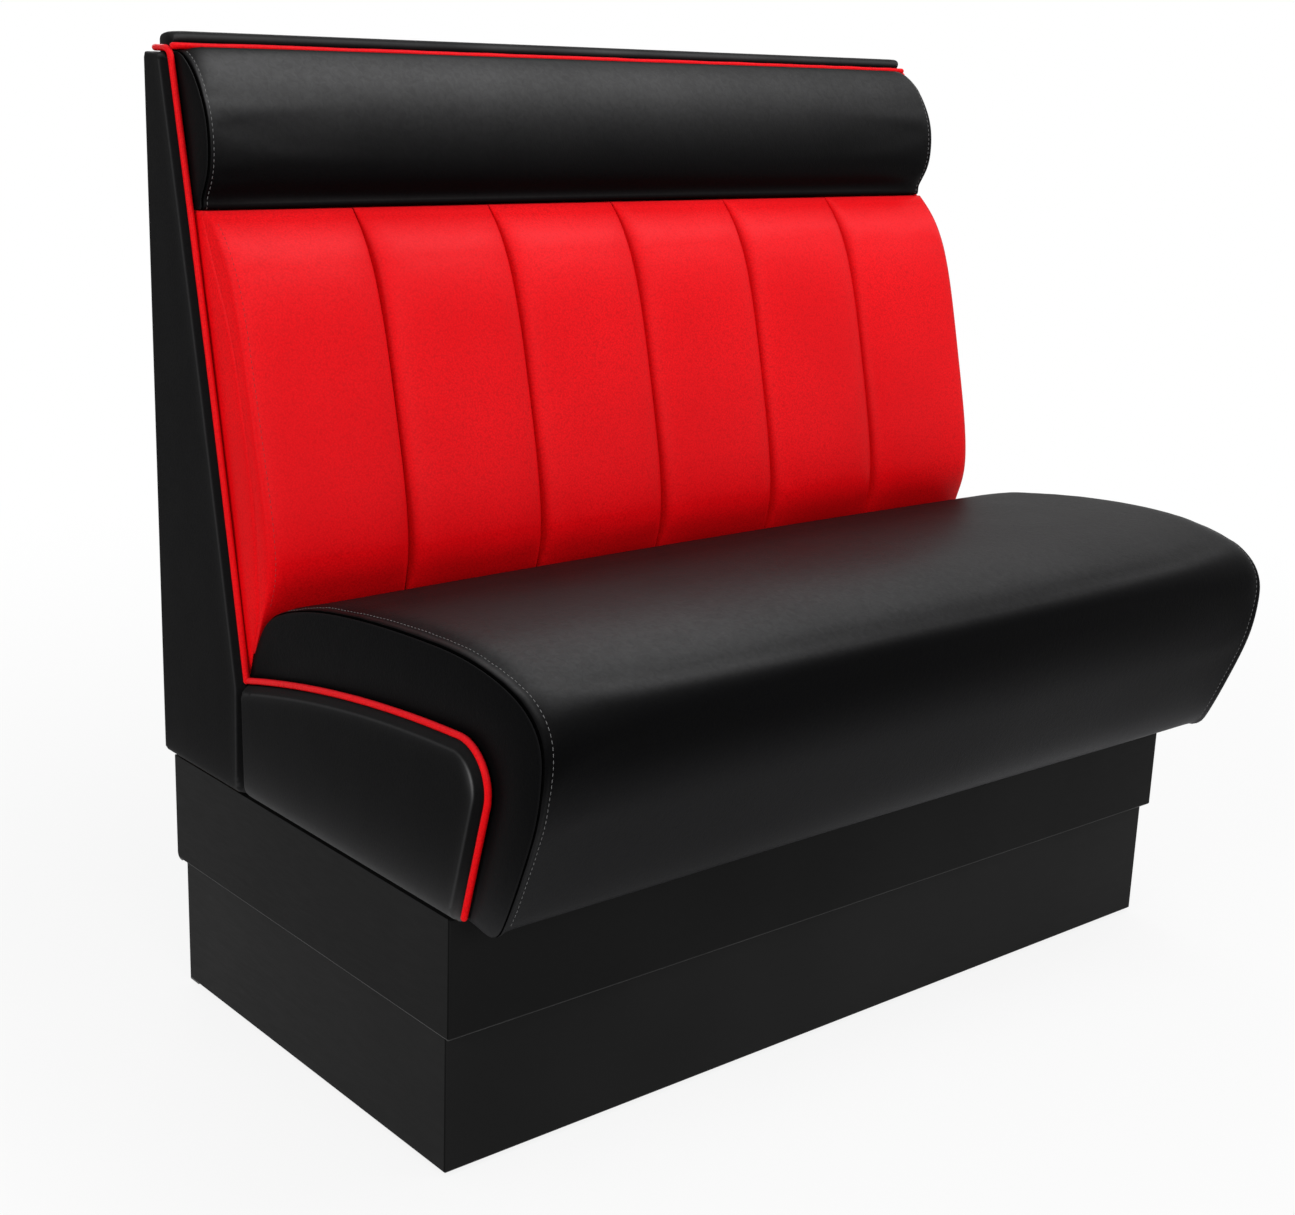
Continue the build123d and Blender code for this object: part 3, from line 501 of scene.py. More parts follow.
def closed_behind(vertices, faces, rubbed, x):
    """An open panel with walls from its border to the plane at x, and a back in that plane."""
    uses = dict.fromkeys(edge for f in faces for edge in zip(f, f[1:] + f[:1]))
    border = [(u, v) for u, v in uses if (v, u) not in uses]
    base = {u: len(vertices) + i for i, (u, _) in enumerate(border)}
    wall = np.array([(x, vertices[u][1], vertices[u][2]) for u, _ in border])
    faces = faces + [(v, u, base[u], base[v]) for u, v in border]
    onward = dict(border)
    ring = [border[0][0]]
    while onward[ring[-1]] != ring[0]:
        ring.append(onward[ring[-1]])
    faces.append(tuple(base[u] for u in reversed(ring)))
    rubbed = np.concatenate([np.clip(rubbed, 0.0, 1.0), np.zeros(len(wall))])
    return np.concatenate([vertices, wall]), faces, rubbed


# Cloth


def blown_up(grid, shrink, stiffness, swell):
    """The grid as a sewn cover blown up by cloth simulation, held along its rim."""
    rows, columns = grid.shape[:2]
    pinned = np.zeros((rows, columns))
    pinned[0, :] = pinned[-1, :] = pinned[:, 0] = pinned[:, -1] = 1.0
    start = grid - grid_normals(grid) * (swell * 0.3 * (1 - pinned))[:, :, None]
    mesh = bpy.data.meshes.new("cover")
    mesh.from_pydata([tuple(v) for v in start.reshape(-1, 3)], [], grid_faces(rows, columns))
    cover = bpy.data.objects.new("cover", mesh)
    scene = bpy.context.scene
    scene.collection.objects.link(cover)
    cover.vertex_groups.new(name="held").add(np.flatnonzero(pinned).tolist(), 1.0, "REPLACE")
    cloth = cover.modifiers.new("cloth", "CLOTH")
    cloth.collision_settings.use_collision = False
    cloth.settings.effector_weights.gravity = 0.0
    settings = {
        "quality": 6, "mass": 0.3, "tension_stiffness": stiffness, "compression_stiffness": stiffness,
        "shear_stiffness": stiffness / 2, "bending_stiffness": 5.0, "air_damping": 4.0,
        "vertex_group_mass": "held", "pin_stiffness": 5.0, "use_pressure": True,
        "uniform_pressure_force": sizes().pressure, "shrink_min": shrink,
    }
    for key, value in settings.items():
        setattr(cloth.settings, key, value)
    for step in range(1, CLOTH_STEPS + 1):
        scene.frame_set(step)
    evaluated = cover.evaluated_get(bpy.context.evaluated_depsgraph_get())
    moved = np.zeros(rows * columns * 3)
    evaluated.data.vertices.foreach_get("co", moved)
    bpy.data.objects.remove(cover)
    bpy.data.meshes.remove(mesh)
    scene.frame_set(1)
    shift = moved.reshape(rows, columns, 3) - start
    far = np.linalg.norm(shift, axis=2, keepdims=True)
    return start + shift * (np.tanh(far / swell) * swell / np.maximum(far, 1e-9))


def resampled(field, rows_at, columns_at):
    """Values of a grid of vectors at fractional rows and columns, smoothly interpolated."""
    rows, columns = field.shape[:2]
    by_row = cubic(np.arange(rows, dtype=float), field.reshape(rows, -1), rows_at)
    by_row = by_row.reshape(len(rows_at), columns, -1).transpose(1, 0, 2).reshape(columns, -1)
    both = cubic(np.arange(columns, dtype=float), by_row, columns_at)
    return both.reshape(len(columns_at), len(rows_at), -1).transpose(1, 0, 2)


# Finishes


class Nodes:
    """Builds a node tree; an input is given as a socket or as a fixed value."""

    def __init__(self, tree):
        self.tree = tree
        tree.nodes.clear()

    def node(self, kind, inputs=None, **settings):
        """A new node with the given inputs, by name or number."""
        made = self.tree.nodes.new(kind)
        for key, value in settings.items():
            setattr(made, key, value)
        for key, value in (inputs or {}).items():
            if isinstance(value, bpy.types.NodeSocket):
                self.tree.links.new(value, made.inputs[key])
            else:
                made.inputs[key].default_value = value
        return made

    def math(self, operation, *values):
        return self.node("ShaderNodeMath", dict(enumerate(values)), operation=operation).outputs["Value"]

    def between(self, value, low, high, to_low, to_high, **settings):
        """The value's range from low to high brought to another range."""
        ranges = {"From Min": low, "From Max": high, "To Min": to_low, "To Max": to_high}
        return self.node("ShaderNodeMapRange", {"Value": value, **ranges}, **settings).outputs["Result"]

    def background_share(self):
        """Share of rays that see the plain background: camera, glossy and transmission rays."""
        path = self.node("ShaderNodeLightPath").outputs
        either = self.math("MAXIMUM", path["Is Camera Ray"], path["Is Glossy Ray"])
        return self.math("MAXIMUM", either, path["Is Transmission Ray"])

    def shown(self, output, share, first, second):
        """Ends the tree in the first shader, mixed with a share of the second."""
        both = self.node("ShaderNodeMixShader", {"Fac": share, 1: first, 2: second})
        self.node(output, {"Surface": both.outputs["Shader"]})


class Finish(Nodes):
    """A material built from procedural nodes; the places are the bench's own coordinates."""

    def __init__(self, name):
        self.material = bpy.data.materials.new(name)
        self.material.use_nodes = True
        super().__init__(self.material.node_tree)
        self.place = self.node("ShaderNodeTexCoord").outputs["Object"]

    def stretched(self, scale):
        return self.node("ShaderNodeMapping", {"Vector": self.place, "Scale": scale}).outputs["Vector"]

    def noise(self, scale, detail=3.0, roughness=0.5, place=None, distortion=0.0):
        settings = {"Scale": scale, "Detail": detail, "Roughness": roughness, "Distortion": distortion}
        return self.node("ShaderNodeTexNoise", {"Vector": place or self.place, **settings}).outputs["Fac"]

    def cells(self, scale, feature="F1"):
        inputs = {"Vector": self.place, "Scale": scale}
        return self.node("ShaderNodeTexVoronoi", inputs, feature=feature).outputs["Distance"]

    def sum(self, first, second, share=1.0):
        """The first value and a share of the second."""
        return self.math("MULTIPLY_ADD", second, share, first)

    def product(self, first, second):
        return self.math("MULTIPLY", first, second)

    def mixed(self, factor, first, second):
        """Mix of two colours, each a socket or a colour."""
        first, second = (c if isinstance(c, bpy.types.NodeSocket) else (*c, 1.0) for c in (first, second))
        inputs = {"Factor": factor, 6: first, 7: second}
        return self.node("ShaderNodeMix", inputs, data_type="RGBA").outputs[2]

    def tinted(self, pattern, low, high, first, second, most=1.0):
        """The first colour, which takes on the second, at most by a share, from the pattern's low to high."""
        return self.mixed(self.between(pattern, low, high, 0.0, most), first, second)

    def surface(self, quality):
        """A quality of the surface, such as its Normal, or its Pointiness on outward edges."""
        return self.node("ShaderNodeNewGeometry").outputs[quality]

    def facing(self, direction, sharpness):
        """Share that grows as the surface faces a direction, the faster the sharper."""
        directions = {0: self.surface("Normal"), 1: Vector(direction).normalized()}
        toward = self.node("ShaderNodeVectorMath", directions, operation="DOT_PRODUCT").outputs["Value"]
        ahead = self.between(toward, 0.0, 1.0, 0.0, 1.0)
        near, wide = (self.math("POWER", ahead, exponent) for exponent in (sharpness, 0.25 * sharpness))
        return self.between(self.sum(near, wide, 0.12), 0.0, 1.12, 0.0, 1.0)

    def along(self, axis, vector=None):
        """A vector's part along one of the bench's axes; the vector is the place unless given."""
        apart = self.node("ShaderNodeSeparateXYZ", {"Vector": vector or self.place})
        return apart.outputs["xyz".index(axis)]

    def bumped(self, height, distance, strength, under=None):
        """The surface's direction after bumps of the given height, on top of the bumps under them."""
        inputs = {"Height": height, "Distance": distance, "Strength": strength}
        if under is not None:
            inputs["Normal"] = under
        return self.node("ShaderNodeBump", inputs).outputs["Normal"]

    def finish(self, colour, roughness, normal, **fixed):
        """The finished material; fixed are the shader's other inputs, with underscores for spaces."""
        inputs = {"Base Color": colour, "Roughness": roughness, "Normal": normal}
        inputs.update((key.replace("_", " "), value) for key, value in fixed.items())
        shader = self.node("ShaderNodeBsdfPrincipled", inputs)
        self.node("ShaderNodeOutputMaterial", {"Surface": shader.outputs["BSDF"]})
        return self.material


def made_once(build):
    """A finish that is built the first time its name is asked for."""
    def finish(name, *values, **settings):
        return bpy.data.materials.get(name) or build(Finish(name), *values, **settings)
    finish.__doc__ = build.__doc__
    return finish


def lighter(colour, factor):
    return tuple(min(1.0, c * factor) for c in colour)


@made_once
def vinyl(f, colour, wear_and_highlight_colour, painted_sheen_colour, roughness, specular, creases, leaning=(0.0, 0.0, 1.0),
          sharpness=1.6, thinning=()):
    """Embossed upholstery vinyl: fine pebbled grain, soft creases, uneven gloss, rubbed edges and a settled
    film of fine dust on what faces the leaning direction, which thins along the axes given."""
    pebbles = f.cells(620.0, "SMOOTH_F1")
    pores = f.noise(2100.0, 2.0, 0.6)
    folds = f.noise(150.0, 5.0, 0.62, distortion=0.9)
    drift = f.noise(5.5)
    normal = f.bumped(folds, 1.0 * MM, creases)
    normal = f.bumped(f.sum(pebbles, pores, 0.35), 0.3 * MM, 0.36, normal)
    tint = f.tinted(drift, 0.3, 0.7, lighter(colour, 0.9), lighter(colour, 1.1))
    tint = f.tinted(pebbles, 0.1, 0.75, tint, lighter(colour, 0.72))
    tint = f.tinted(f.surface("Pointiness"), 0.52, 0.6, tint, wear_and_highlight_colour, 0.12)
    # Painted sheen: faces turned to the leaning direction are lightened, a highlight painted into the colour
    painted_sheen = f.product(f.facing(leaning, sharpness), f.between(f.sum(drift, folds, 1.2), 0.85, 1.4, 0.7, 1.0))
    for axis, thin, full, least in thinning:
        painted_sheen = f.product(painted_sheen, f.between(f.along(axis), thin, full, least, 1.0))
    tint = f.mixed(painted_sheen, tint, painted_sheen_colour)
    # Painted highlight: the share stored on each vertex lightens the colour towards the lighter colour
    highlight_share = f.node("ShaderNodeAttribute", attribute_name="rubbed").outputs["Fac"]
    tint = f.mixed(f.product(highlight_share, f.between(folds, 0.3, 0.7, 0.85, 1.0)), tint, wear_and_highlight_colour)
    gloss = f.between(f.sum(drift, folds, 0.7), 0.5, 1.2, roughness - 0.05, roughness + 0.06)
    return f.finish(tint, gloss, normal, Specular_IOR_Level=specular)


@made_once
def laminate(f, tier, colour):
    """Satin black laminate with a fine pearl texture and faint scuffs, rubbed along its lower edge, with a
    shaded joint at the front corners."""
    low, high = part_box(tier + "_front")
    pearl = f.noise(1500.0, 2.0, 0.55)
    scuffs = f.noise(38.0, 6.0, 0.7, f.stretched((1.0, 1.0, 7.0)))
    drift = f.noise(3.2, 2.0)
    tint = f.tinted(drift, 0.3, 0.7, lighter(colour, 0.82), lighter(colour, 1.2))
    tint = f.tinted(scuffs, 0.62, 0.8, tint, lighter(colour, 1.6), 0.3)
    # Painted highlight: a light line along the lower edge, stronger on the sides
    side = f.between(f.math("ABSOLUTE", f.along("x")), high.x - 1.2 * MM, high.x - 0.3 * MM, 0.0, 1.0)
    edge = f.between(f.along("z"), low.z + 1.2 * MM, low.z + 2.2 * MM, 1.0, 0.0)
    rubbed = f.product(edge, f.between(side, 0.0, 1.0, 0.3, 1.0))
    rubbed = f.product(rubbed, f.between(f.noise(17.0, 3.0, 0.6), 0.3, 0.6, 0.6, 0.9))
    tint = f.mixed(rubbed, tint, (0.16, 0.16, 0.16))
    joint = f.product(side, f.between(f.along("y"), low.y + 0.9 * MM, low.y + 1.5 * MM, 1.0, 0.0))
    tint = f.mixed(joint, tint, (0.0008, 0.0008, 0.0008))
    gloss = f.between(scuffs, 0.3, 0.75, 0.44, 0.56)
    return f.finish(tint, gloss, f.bumped(pearl, 0.12 * MM, 0.3), Specular_IOR_Level=0.03)


@made_once
def plywood(f, run, layers, stain=1.0):
    """Plywood, bare or stained: grain along one axis and plies across another."""
    along = f.stretched([3.0 if axis == run else 55.0 for axis in "xyz"])
    grain = f.noise(1.0, 6.0, 0.65, along, 0.6)
    fibres = f.noise(9.0, 4.0, 0.7, along)
    knots = f.noise(4.0, 2.0)
    plies = f.between(f.math("PINGPONG", f.along(layers), 1.4 * MM), 0.55 * MM, 0.85 * MM, 0.0, 1.0)
    edge = f.math("ABSOLUTE", f.along(layers, f.surface("Normal")))
    shown = f.product(plies, f.between(edge, 0.3, 0.6, 0.75, 0.0))
    woods = ((0.5, 0.32, 0.17), (0.36, 0.21, 0.1), (0.58, 0.4, 0.24), (0.17, 0.09, 0.04))
    pale, deep, knot, ply_line = (lighter(wood, stain) for wood in woods)
    tint = f.tinted(grain, 0.3, 0.7, pale, deep)
    tint = f.tinted(knots, 0.55, 0.8, tint, knot, 0.4)
    tint = f.mixed(shown, tint, ply_line)
    gloss = f.between(fibres, 0.3, 0.7, 0.62, 0.78)
    return f.finish(tint, gloss, f.bumped(fibres, 0.4 * MM, 0.35), Specular_IOR_Level=0.25)


@made_once
def metal(f, colour, roughness, spangle):
    """Plated or blued steel with drawn marks and dull patches."""
    marks = f.noise(420.0, 3.0, 0.6)
    dull = f.noise(70.0)
    tint = f.tinted(f.cells(spangle), 0.0, 0.9, lighter(colour, 1.12), lighter(colour, 0.8))
    tint = f.tinted(dull, 0.5, 0.8, tint, lighter(colour, 0.55), 0.5)
    gloss = f.between(f.sum(dull, marks, 0.5), 0.4, 1.1, roughness - 0.08, roughness + 0.14)
    return f.finish(tint, gloss, f.bumped(marks, 0.06 * MM, 0.4), Metallic=1.0)


@made_once
def nylon(f):
    """Moulded black nylon of the glides' feet."""
    flow = f.noise(160.0)
    sparks = f.noise(1300.0, 2.0)
    tint = f.tinted(flow, 0.3, 0.7, (0.012, 0.012, 0.013), (0.02, 0.02, 0.021))
    tint = f.tinted(f.surface("Pointiness"), 0.52, 0.6, tint, (0.07, 0.07, 0.07), 0.6)
    gloss = f.between(flow, 0.3, 0.7, 0.42, 0.55)
    return f.finish(tint, gloss, f.bumped(sparks, 0.1 * MM, 0.25), Specular_IOR_Level=0.4)


@made_once
def felt(f):
    """Pressed fibre pad between the springs and the foam."""
    hairs = f.noise(260.0, 5.0, 0.75, distortion=2.5)
    tint = f.tinted(hairs, 0.35, 0.65, (0.07, 0.065, 0.06), (0.16, 0.15, 0.135))
    tint = f.tinted(f.noise(30.0, 3.0, 0.6), 0.5, 0.75, tint, (0.1, 0.08, 0.1), 0.5)
    gloss = f.between(f.cells(240.0), 0.0, 0.8, 0.85, 0.95)
    return f.finish(tint, gloss, f.bumped(hairs, 0.8 * MM, 0.7), Specular_IOR_Level=0.1,
                    Sheen_Weight=0.3, Sheen_Roughness=0.6)


@made_once
def thread(f, colour):
    """Twisted polyester sewing thread."""
    twist = f.noise(1600.0, 2.0, distortion=1.0)
    soil = f.noise(35.0, 3.0, 0.6)
    tint = f.tinted(twist, 0.35, 0.65, lighter(colour, 0.65), lighter(colour, 1.2))
    tint = f.tinted(soil, 0.45, 0.7, tint, lighter(colour, 0.6), 0.5)
    gloss = f.between(soil, 0.3, 0.7, 0.5, 0.65)
    return f.finish(tint, gloss, f.bumped(twist, 0.2 * MM, 0.5), Specular_IOR_Level=0.3, Sheen_Weight=0.1)


@made_once
def seam_shade(f, colour):
    """The shaded bottom of a sewn seam."""
    pulls = f.noise(420.0, 3.0, 0.6)
    tint = f.tinted(pulls, 0.3, 0.7, lighter(colour, 0.5), lighter(colour, 1.3))
    gloss = f.between(f.noise(60.0, 3.0, 0.6), 0.3, 0.7, 0.75, 0.9)
    return f.finish(tint, gloss, f.bumped(pulls, 0.3 * MM, 0.4), Specular_IOR_Level=0.0)


def colour(name):
    """One of the colours that can be changed."""
    return tuple(getattr(bpy.context.scene.booth_colours, name))


def sizes():
    return bpy.context.scene.booth_sizes


def black_vinyl():
    """The seat cushion's vinyl: its film lies on the top and thins towards the back and the right end."""
    return vinyl(
        "cushion vinyl", colour("black"), wear_and_highlight_colour=(0.05, 0.05, 0.052),
        painted_sheen_colour=(0.062, 0.062, 0.063), roughness=0.42, specular=0.012, creases=0.24,
        leaning=(0.0, -0.24, 0.97), sharpness=12.0,
        thinning=(("y", -0.02, -0.2, 0.22), ("x", 0.45, -0.25, 0.5)))


def roll_vinyl():
    """The head roll's vinyl: its film lies on the upper front and thins towards the right end."""
    return vinyl(
        "head roll vinyl", colour("black"), wear_and_highlight_colour=(0.06, 0.06, 0.062),
        painted_sheen_colour=(0.08, 0.08, 0.081), roughness=0.42, specular=0.015, creases=0.3,
        leaning=(0.0, -0.77, 0.64), sharpness=12.0, thinning=(("x", 0.45, -0.25, 0.55),))


def panel_vinyl():
    """The smoother vinyl of the padded ends, the cap and the rear."""
    return vinyl(
        "end vinyl", colour("panel"), wear_and_highlight_colour=(0.13, 0.13, 0.132),
        painted_sheen_colour=(0.015, 0.015, 0.0155), roughness=0.5, specular=0.012, creases=0.05)


def red_vinyl():
    """The channels' vinyl: its film stops short of the head roll."""
    return vinyl(
        "channel vinyl", colour("red"), wear_and_highlight_colour=(0.86, 0.06, 0.07), painted_sheen_colour=(0.86, 0.045, 0.055),
        roughness=0.42, specular=0.03, creases=0.05, thinning=(("z", 0.757, 0.738, 0.15),))


def red_welt():
    """The glossier vinyl of the piping."""
    return vinyl(
        "piping vinyl", colour("red"), wear_and_highlight_colour=(0.86, 0.03, 0.04), painted_sheen_colour=(0.86, 0.02, 0.03),
        roughness=0.3, specular=0.035, creases=0.01)


def black_seam_shade():
    return seam_shade("black seam", (0.0012, 0.0012, 0.0012))


def red_seam_shade():
    return seam_shade("red seam", (0.16, 0.002, 0.003))


# Building steps


def end_columns(near, step):
    """Places along the bench from end to end, close together at the two ends."""
    near = np.array(near) * MM
    inner = cushion_end - near[-1]
    middle = np.linspace(-inner, inner, int(round(2 * inner / (step * MM))) + 1)[1:-1]
    return np.concatenate([-cushion_end + near, middle, (cushion_end - near)[::-1]])


def crowned(seam, crown, xs, reach, power):
    """Grid of a cover whose side view goes from the seam's line at the ends to the crown's line."""
    inward = cushion_end - np.abs(xs)
    share = 1 - (1 - np.clip(inward / reach, 0.0, 1.0)) ** power
    grid = np.zeros((len(seam), len(xs), 3))
    for j, (x, w) in enumerate(zip(xs, share)):
        grid[:, j, 0] = x
        grid[:, j, 1:] = seam * (1 - w) + crown * w
    return grid


def sewn_edge(grid, stitched, ridge):
    """Pulls the end seams in, raises the seam allowance and dents the stitched line."""
    inward = cushion_end - np.abs(grid[:, :, 0])
    shift = -sizes().seam_depth * bell(inward, 0.9 * MM)
    shift += ridge * bell(inward - stitched * 0.5, stitched * 0.32)
    shift -= 0.5 * ridge * bell(inward - stitched, 1.3 * MM)
    puckers = np.zeros(grid.shape[:2])
    for i, j in zip(*np.nonzero(inward < 3 * stitched)):
        puckers[i, j] = noise.noise(Vector(grid[i, j]) * 75.0) * fading(inward[i, j], 1.4 * stitched)
    shift += 0.45 * MM * puckers * smoothstep(inward / (1.5 * MM))
    return grid + grid_normals(grid) * shift[:, :, None]


def outward(grid, towards):
    """1 if the grid's normals point towards the given direction, else -1."""
    return 1.0 if float(np.mean(grid_normals(grid) @ np.array(towards))) > 0 else -1.0


def blown_cover(seam, crown, xs, reach, power, rows, columns, kept):
    """Crowned cover with the kept share of what the cloth simulation adds, sampled at the given places."""
    rough_xs = np.linspace(-cushion_end, cushion_end, columns)
    rough = crowned(evenly(seam, rows), evenly(crown, rows), rough_xs, reach, power)
    blown = blown_up(rough, shrink=0.0, stiffness=40.0, swell=sizes().swell)
    rows_at = np.linspace(0, rows - 1, len(seam))
    columns_at = (xs + cushion_end) / (2 * cushion_end) * (columns - 1)
    return crowned(seam, crown, xs, reach, power) + kept * resampled(blown - rough, rows_at, columns_at)


def sewn_cover(grid, xs, behind, seam, inner, shares, rise, swell, fullest, ripple, ripple_scale, crease):
    """Vertices, faces and face materials of a cover that is closed behind and sewn in at its two ends.

    behind are the points of the closing line. An end goes from the seam's line to the inner line by the
    shares given. It rises at the seam, swells, nearer the seam the larger fullest is, and ripples. crease
    is the number of the seams' material."""
    rows, columns = grid.shape[:2]
    closing = np.zeros((len(behind), columns, 3))
    closing[:, :, 0] = xs
    closing[:, :, 1:] = np.array(behind)[:, None, :]
    around = rows + len(behind)
    vertices = list(np.concatenate([grid, closing]).reshape(-1, 3))
    faces = grid_faces(around, columns, close=True)
    face_materials = [0] * len(faces)
    # The faces along the end seams take the painted seam shade
    for i in range(rows - 1):
        for j in (0, 1, columns - 3, columns - 2):
            face_materials[i * (columns - 1) + j] = crease
    width = np.linalg.norm(inner - seam, axis=1)
    for end, column in ((-1, 0), (1, columns - 1)):
        ring = [i * columns + column for i in range(around)]
        last = ring[:rows]
        for number, share in enumerate(shares):
            line = seam * (1 - share) + inner * share
            out = rise * (1 - fading(share * width, 0.8 * MM))
            out += swell * sin(pi * min(share * fullest, 1.0)) * smoothstep(width / (30 * MM))
            now = list(range(len(vertices), len(vertices) + rows))
            for (y, z), lifted in zip(line, out):
                uneven = ripple * noise.noise(Vector((y, z, end)) * ripple_scale) * sin(pi * share)
                vertices.append(np.array((end * (cushion_end + lifted + uneven), y, z)))
            for k in range(rows - 1):
                quad = (last[k], last[k + 1], now[k + 1], now[k])
                faces.append(quad if end > 0 else quad[::-1])
            face_materials += [crease if number == 0 else 0] * (rows - 1)
            last = now
        fill = last + ring[rows:]
        faces.append(tuple(fill if end > 0 else fill[::-1]))
        face_materials.append(0)
    return vertices, faces, face_materials


class BOOTH_OT_stage(Operator):
    """Lay the pale floor, hang the soft studio lights and set the camera at the photograph's angle"""

    bl_idname = "booth.stage"
    bl_label = "Studio Stage"

    def execute(self, context):
        scene = context.scene
        scene.view_settings.view_transform = "Standard"
        camera_data = bpy.data.cameras.new("camera")
        camera_data.lens = CAMERA_LENS
        camera_data.sensor_width = 36.0
        camera_data.clip_start = 0.05
        camera = bpy.data.objects.new("camera", camera_data)
        scene.collection.objects.link(camera)
        yaw, pitch, roll = radians(CAMERA_YAW), radians(CAMERA_PITCH), radians(CAMERA_ROLL)
        ahead = Vector((sin(yaw) * cos(pitch), cos(yaw) * cos(pitch), -sin(pitch)))
        right = ahead.cross(Vector((0.0, 0.0, 1.0))).normalized()
        down = ahead.cross(right)
        turned_right = cos(roll) * right - sin(roll) * down
        turned_down = sin(roll) * right + cos(roll) * down
        basis = Matrix((turned_right, -turned_down, -ahead)).transposed().to_4x4()
        camera.matrix_world = Matrix.Translation(CAMERA_PLACE) @ basis
        scene.camera = camera

        floor_mesh = bpy.data.meshes.new("floor")
        reach = 9.0
        corners = [(-reach, -reach, 0.0), (reach, -reach, 0.0), (reach, reach, 0.0), (-reach, reach, 0.0)]
        floor_mesh.from_pydata(corners, [], [(0, 1, 2, 3)])
        floor = bpy.data.objects.new("floor", floor_mesh)
        scene.collection.objects.link(floor)
        floor_mesh.materials.append(self.floor_finish())
        self.light_world(scene)
        for name, place, target, width, height, power in LAMPS:
            data = bpy.data.lights.new(name, "AREA")
            data.shape = "RECTANGLE"
            data.size, data.size_y, data.energy = width, height, power
            lamp = bpy.data.objects.new(name, data)
            scene.collection.objects.link(lamp)
            lamp.location = place
            lamp.rotation_mode = "QUATERNION"
            lamp.rotation_quaternion = (Vector(target) - Vector(place)).to_track_quat("-Z", "Y")
        return {"FINISHED"}

    def floor_finish(self):
        """A pale matt floor that turns into the plain background away from the bench."""
        material = bpy.data.materials.new("floor")
        material.use_nodes = True
        nodes = Nodes(material.node_tree)
        matt = nodes.node("ShaderNodeBsdfDiffuse", {"Color": (0.82, 0.82, 0.82, 1.0)}).outputs["BSDF"]
        plain = nodes.node("ShaderNodeEmission").outputs["Emission"]
        place = nodes.node("ShaderNodeTexCoord").outputs["Object"]
        far = nodes.node("ShaderNodeVectorMath", {0: place}, operation="LENGTH").outputs["Value"]
        fade = nodes.between(far, 0.5, 2.4, 0.86, 1.0, interpolation_type="SMOOTHSTEP")
        share = nodes.math("MULTIPLY", nodes.background_share(), fade)
        nodes.shown("ShaderNodeOutputMaterial", share, matt, plain)
        return material

    def light_world(self, scene):
        """A soft white surround that is plain white where the background is seen."""
        scene.world = bpy.data.worlds.new("studio")
        scene.world.use_nodes = True
        nodes = Nodes(scene.world.node_tree)
        white = {"Color": (1.0, 1.0, 1.0, 1.0)}
        around = nodes.node("ShaderNodeBackground", {**white, "Strength": 0.42}).outputs["Background"]
        plain = nodes.node("ShaderNodeBackground", white).outputs["Background"]
        nodes.shown("ShaderNodeOutputWorld", nodes.background_share(), around, plain)


class BOOTH_OT_base(Operator):
    """Finish the boards of the two-tier base in satin black laminate with eased edges"""

    bl_idname = "booth.base"
    bl_label = "Base Boards"

    def execute(self, context):
        # Painted light: the plinth takes a lighter copy of the riser's laminate, the same material painted
        # brighter
        for tier, shade in (("plinth", 1.5), ("riser", 1.0)):
            finish = laminate(tier + " laminate", tier, lighter(colour("laminate"), shade))
            for side in ("front", "rear", "left_side", "right_side"):
                dress(f"{tier}_{side}", finish)
        dress("back_rear_panel", panel_vinyl())
        return {"FINISHED"}


def dress(name, finish):
    """Gives a node of the frame its finish."""
    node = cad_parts[name]
    node.data.materials.clear()
    node.data.materials.append(finish)


class BOOTH_OT_frame(Operator):
    """Finish the hidden plywood frame, its springs and its fixings"""

    bl_idname = "booth.frame"
    bl_label = "Frame and Fixings"

    def execute(self, context):
        # The axes along the grain and across the plies of each board
        boards = {
            "seat_front_rail": "xy", "seat_rear_rail": "xy", "seat_cleats": "xy", "seat_centre_rail": "yx",
            "back_bottom_rail": "xz", "back_top_rail": "xz", "riser_rear_rail": "xz", "riser_floor": "xz",
            "back_board": "xz", "back_ribs": "zx", "plinth_corner_posts": "zx",
        }
        for name, (run, layers) in boards.items():
            dress(name, plywood("plywood_" + run + layers, run, layers))
        # The seat's side rails are plywood darkened almost to black
        dress("seat_side_rails", plywood("stained_yx", "y", "x", 0.03))
        zinc = metal("plated steel", (0.62, 0.64, 0.66), 0.34, 260.0)
        fixings = ("base_screws", "wing_screws", "back_bolts", "glide_nuts")
        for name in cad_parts:
            if name in fixings or name.startswith("glide_stem"):
                dress(name, zinc)
            elif name.startswith("glide_foot"):
                dress(name, nylon("moulded nylon"))
        spring = metal("blued steel", (0.16, 0.155, 0.15), 0.4, 500.0)
        dress("seat_springs", spring)
        dress("spring_clips", spring)
        return {"FINISHED"}


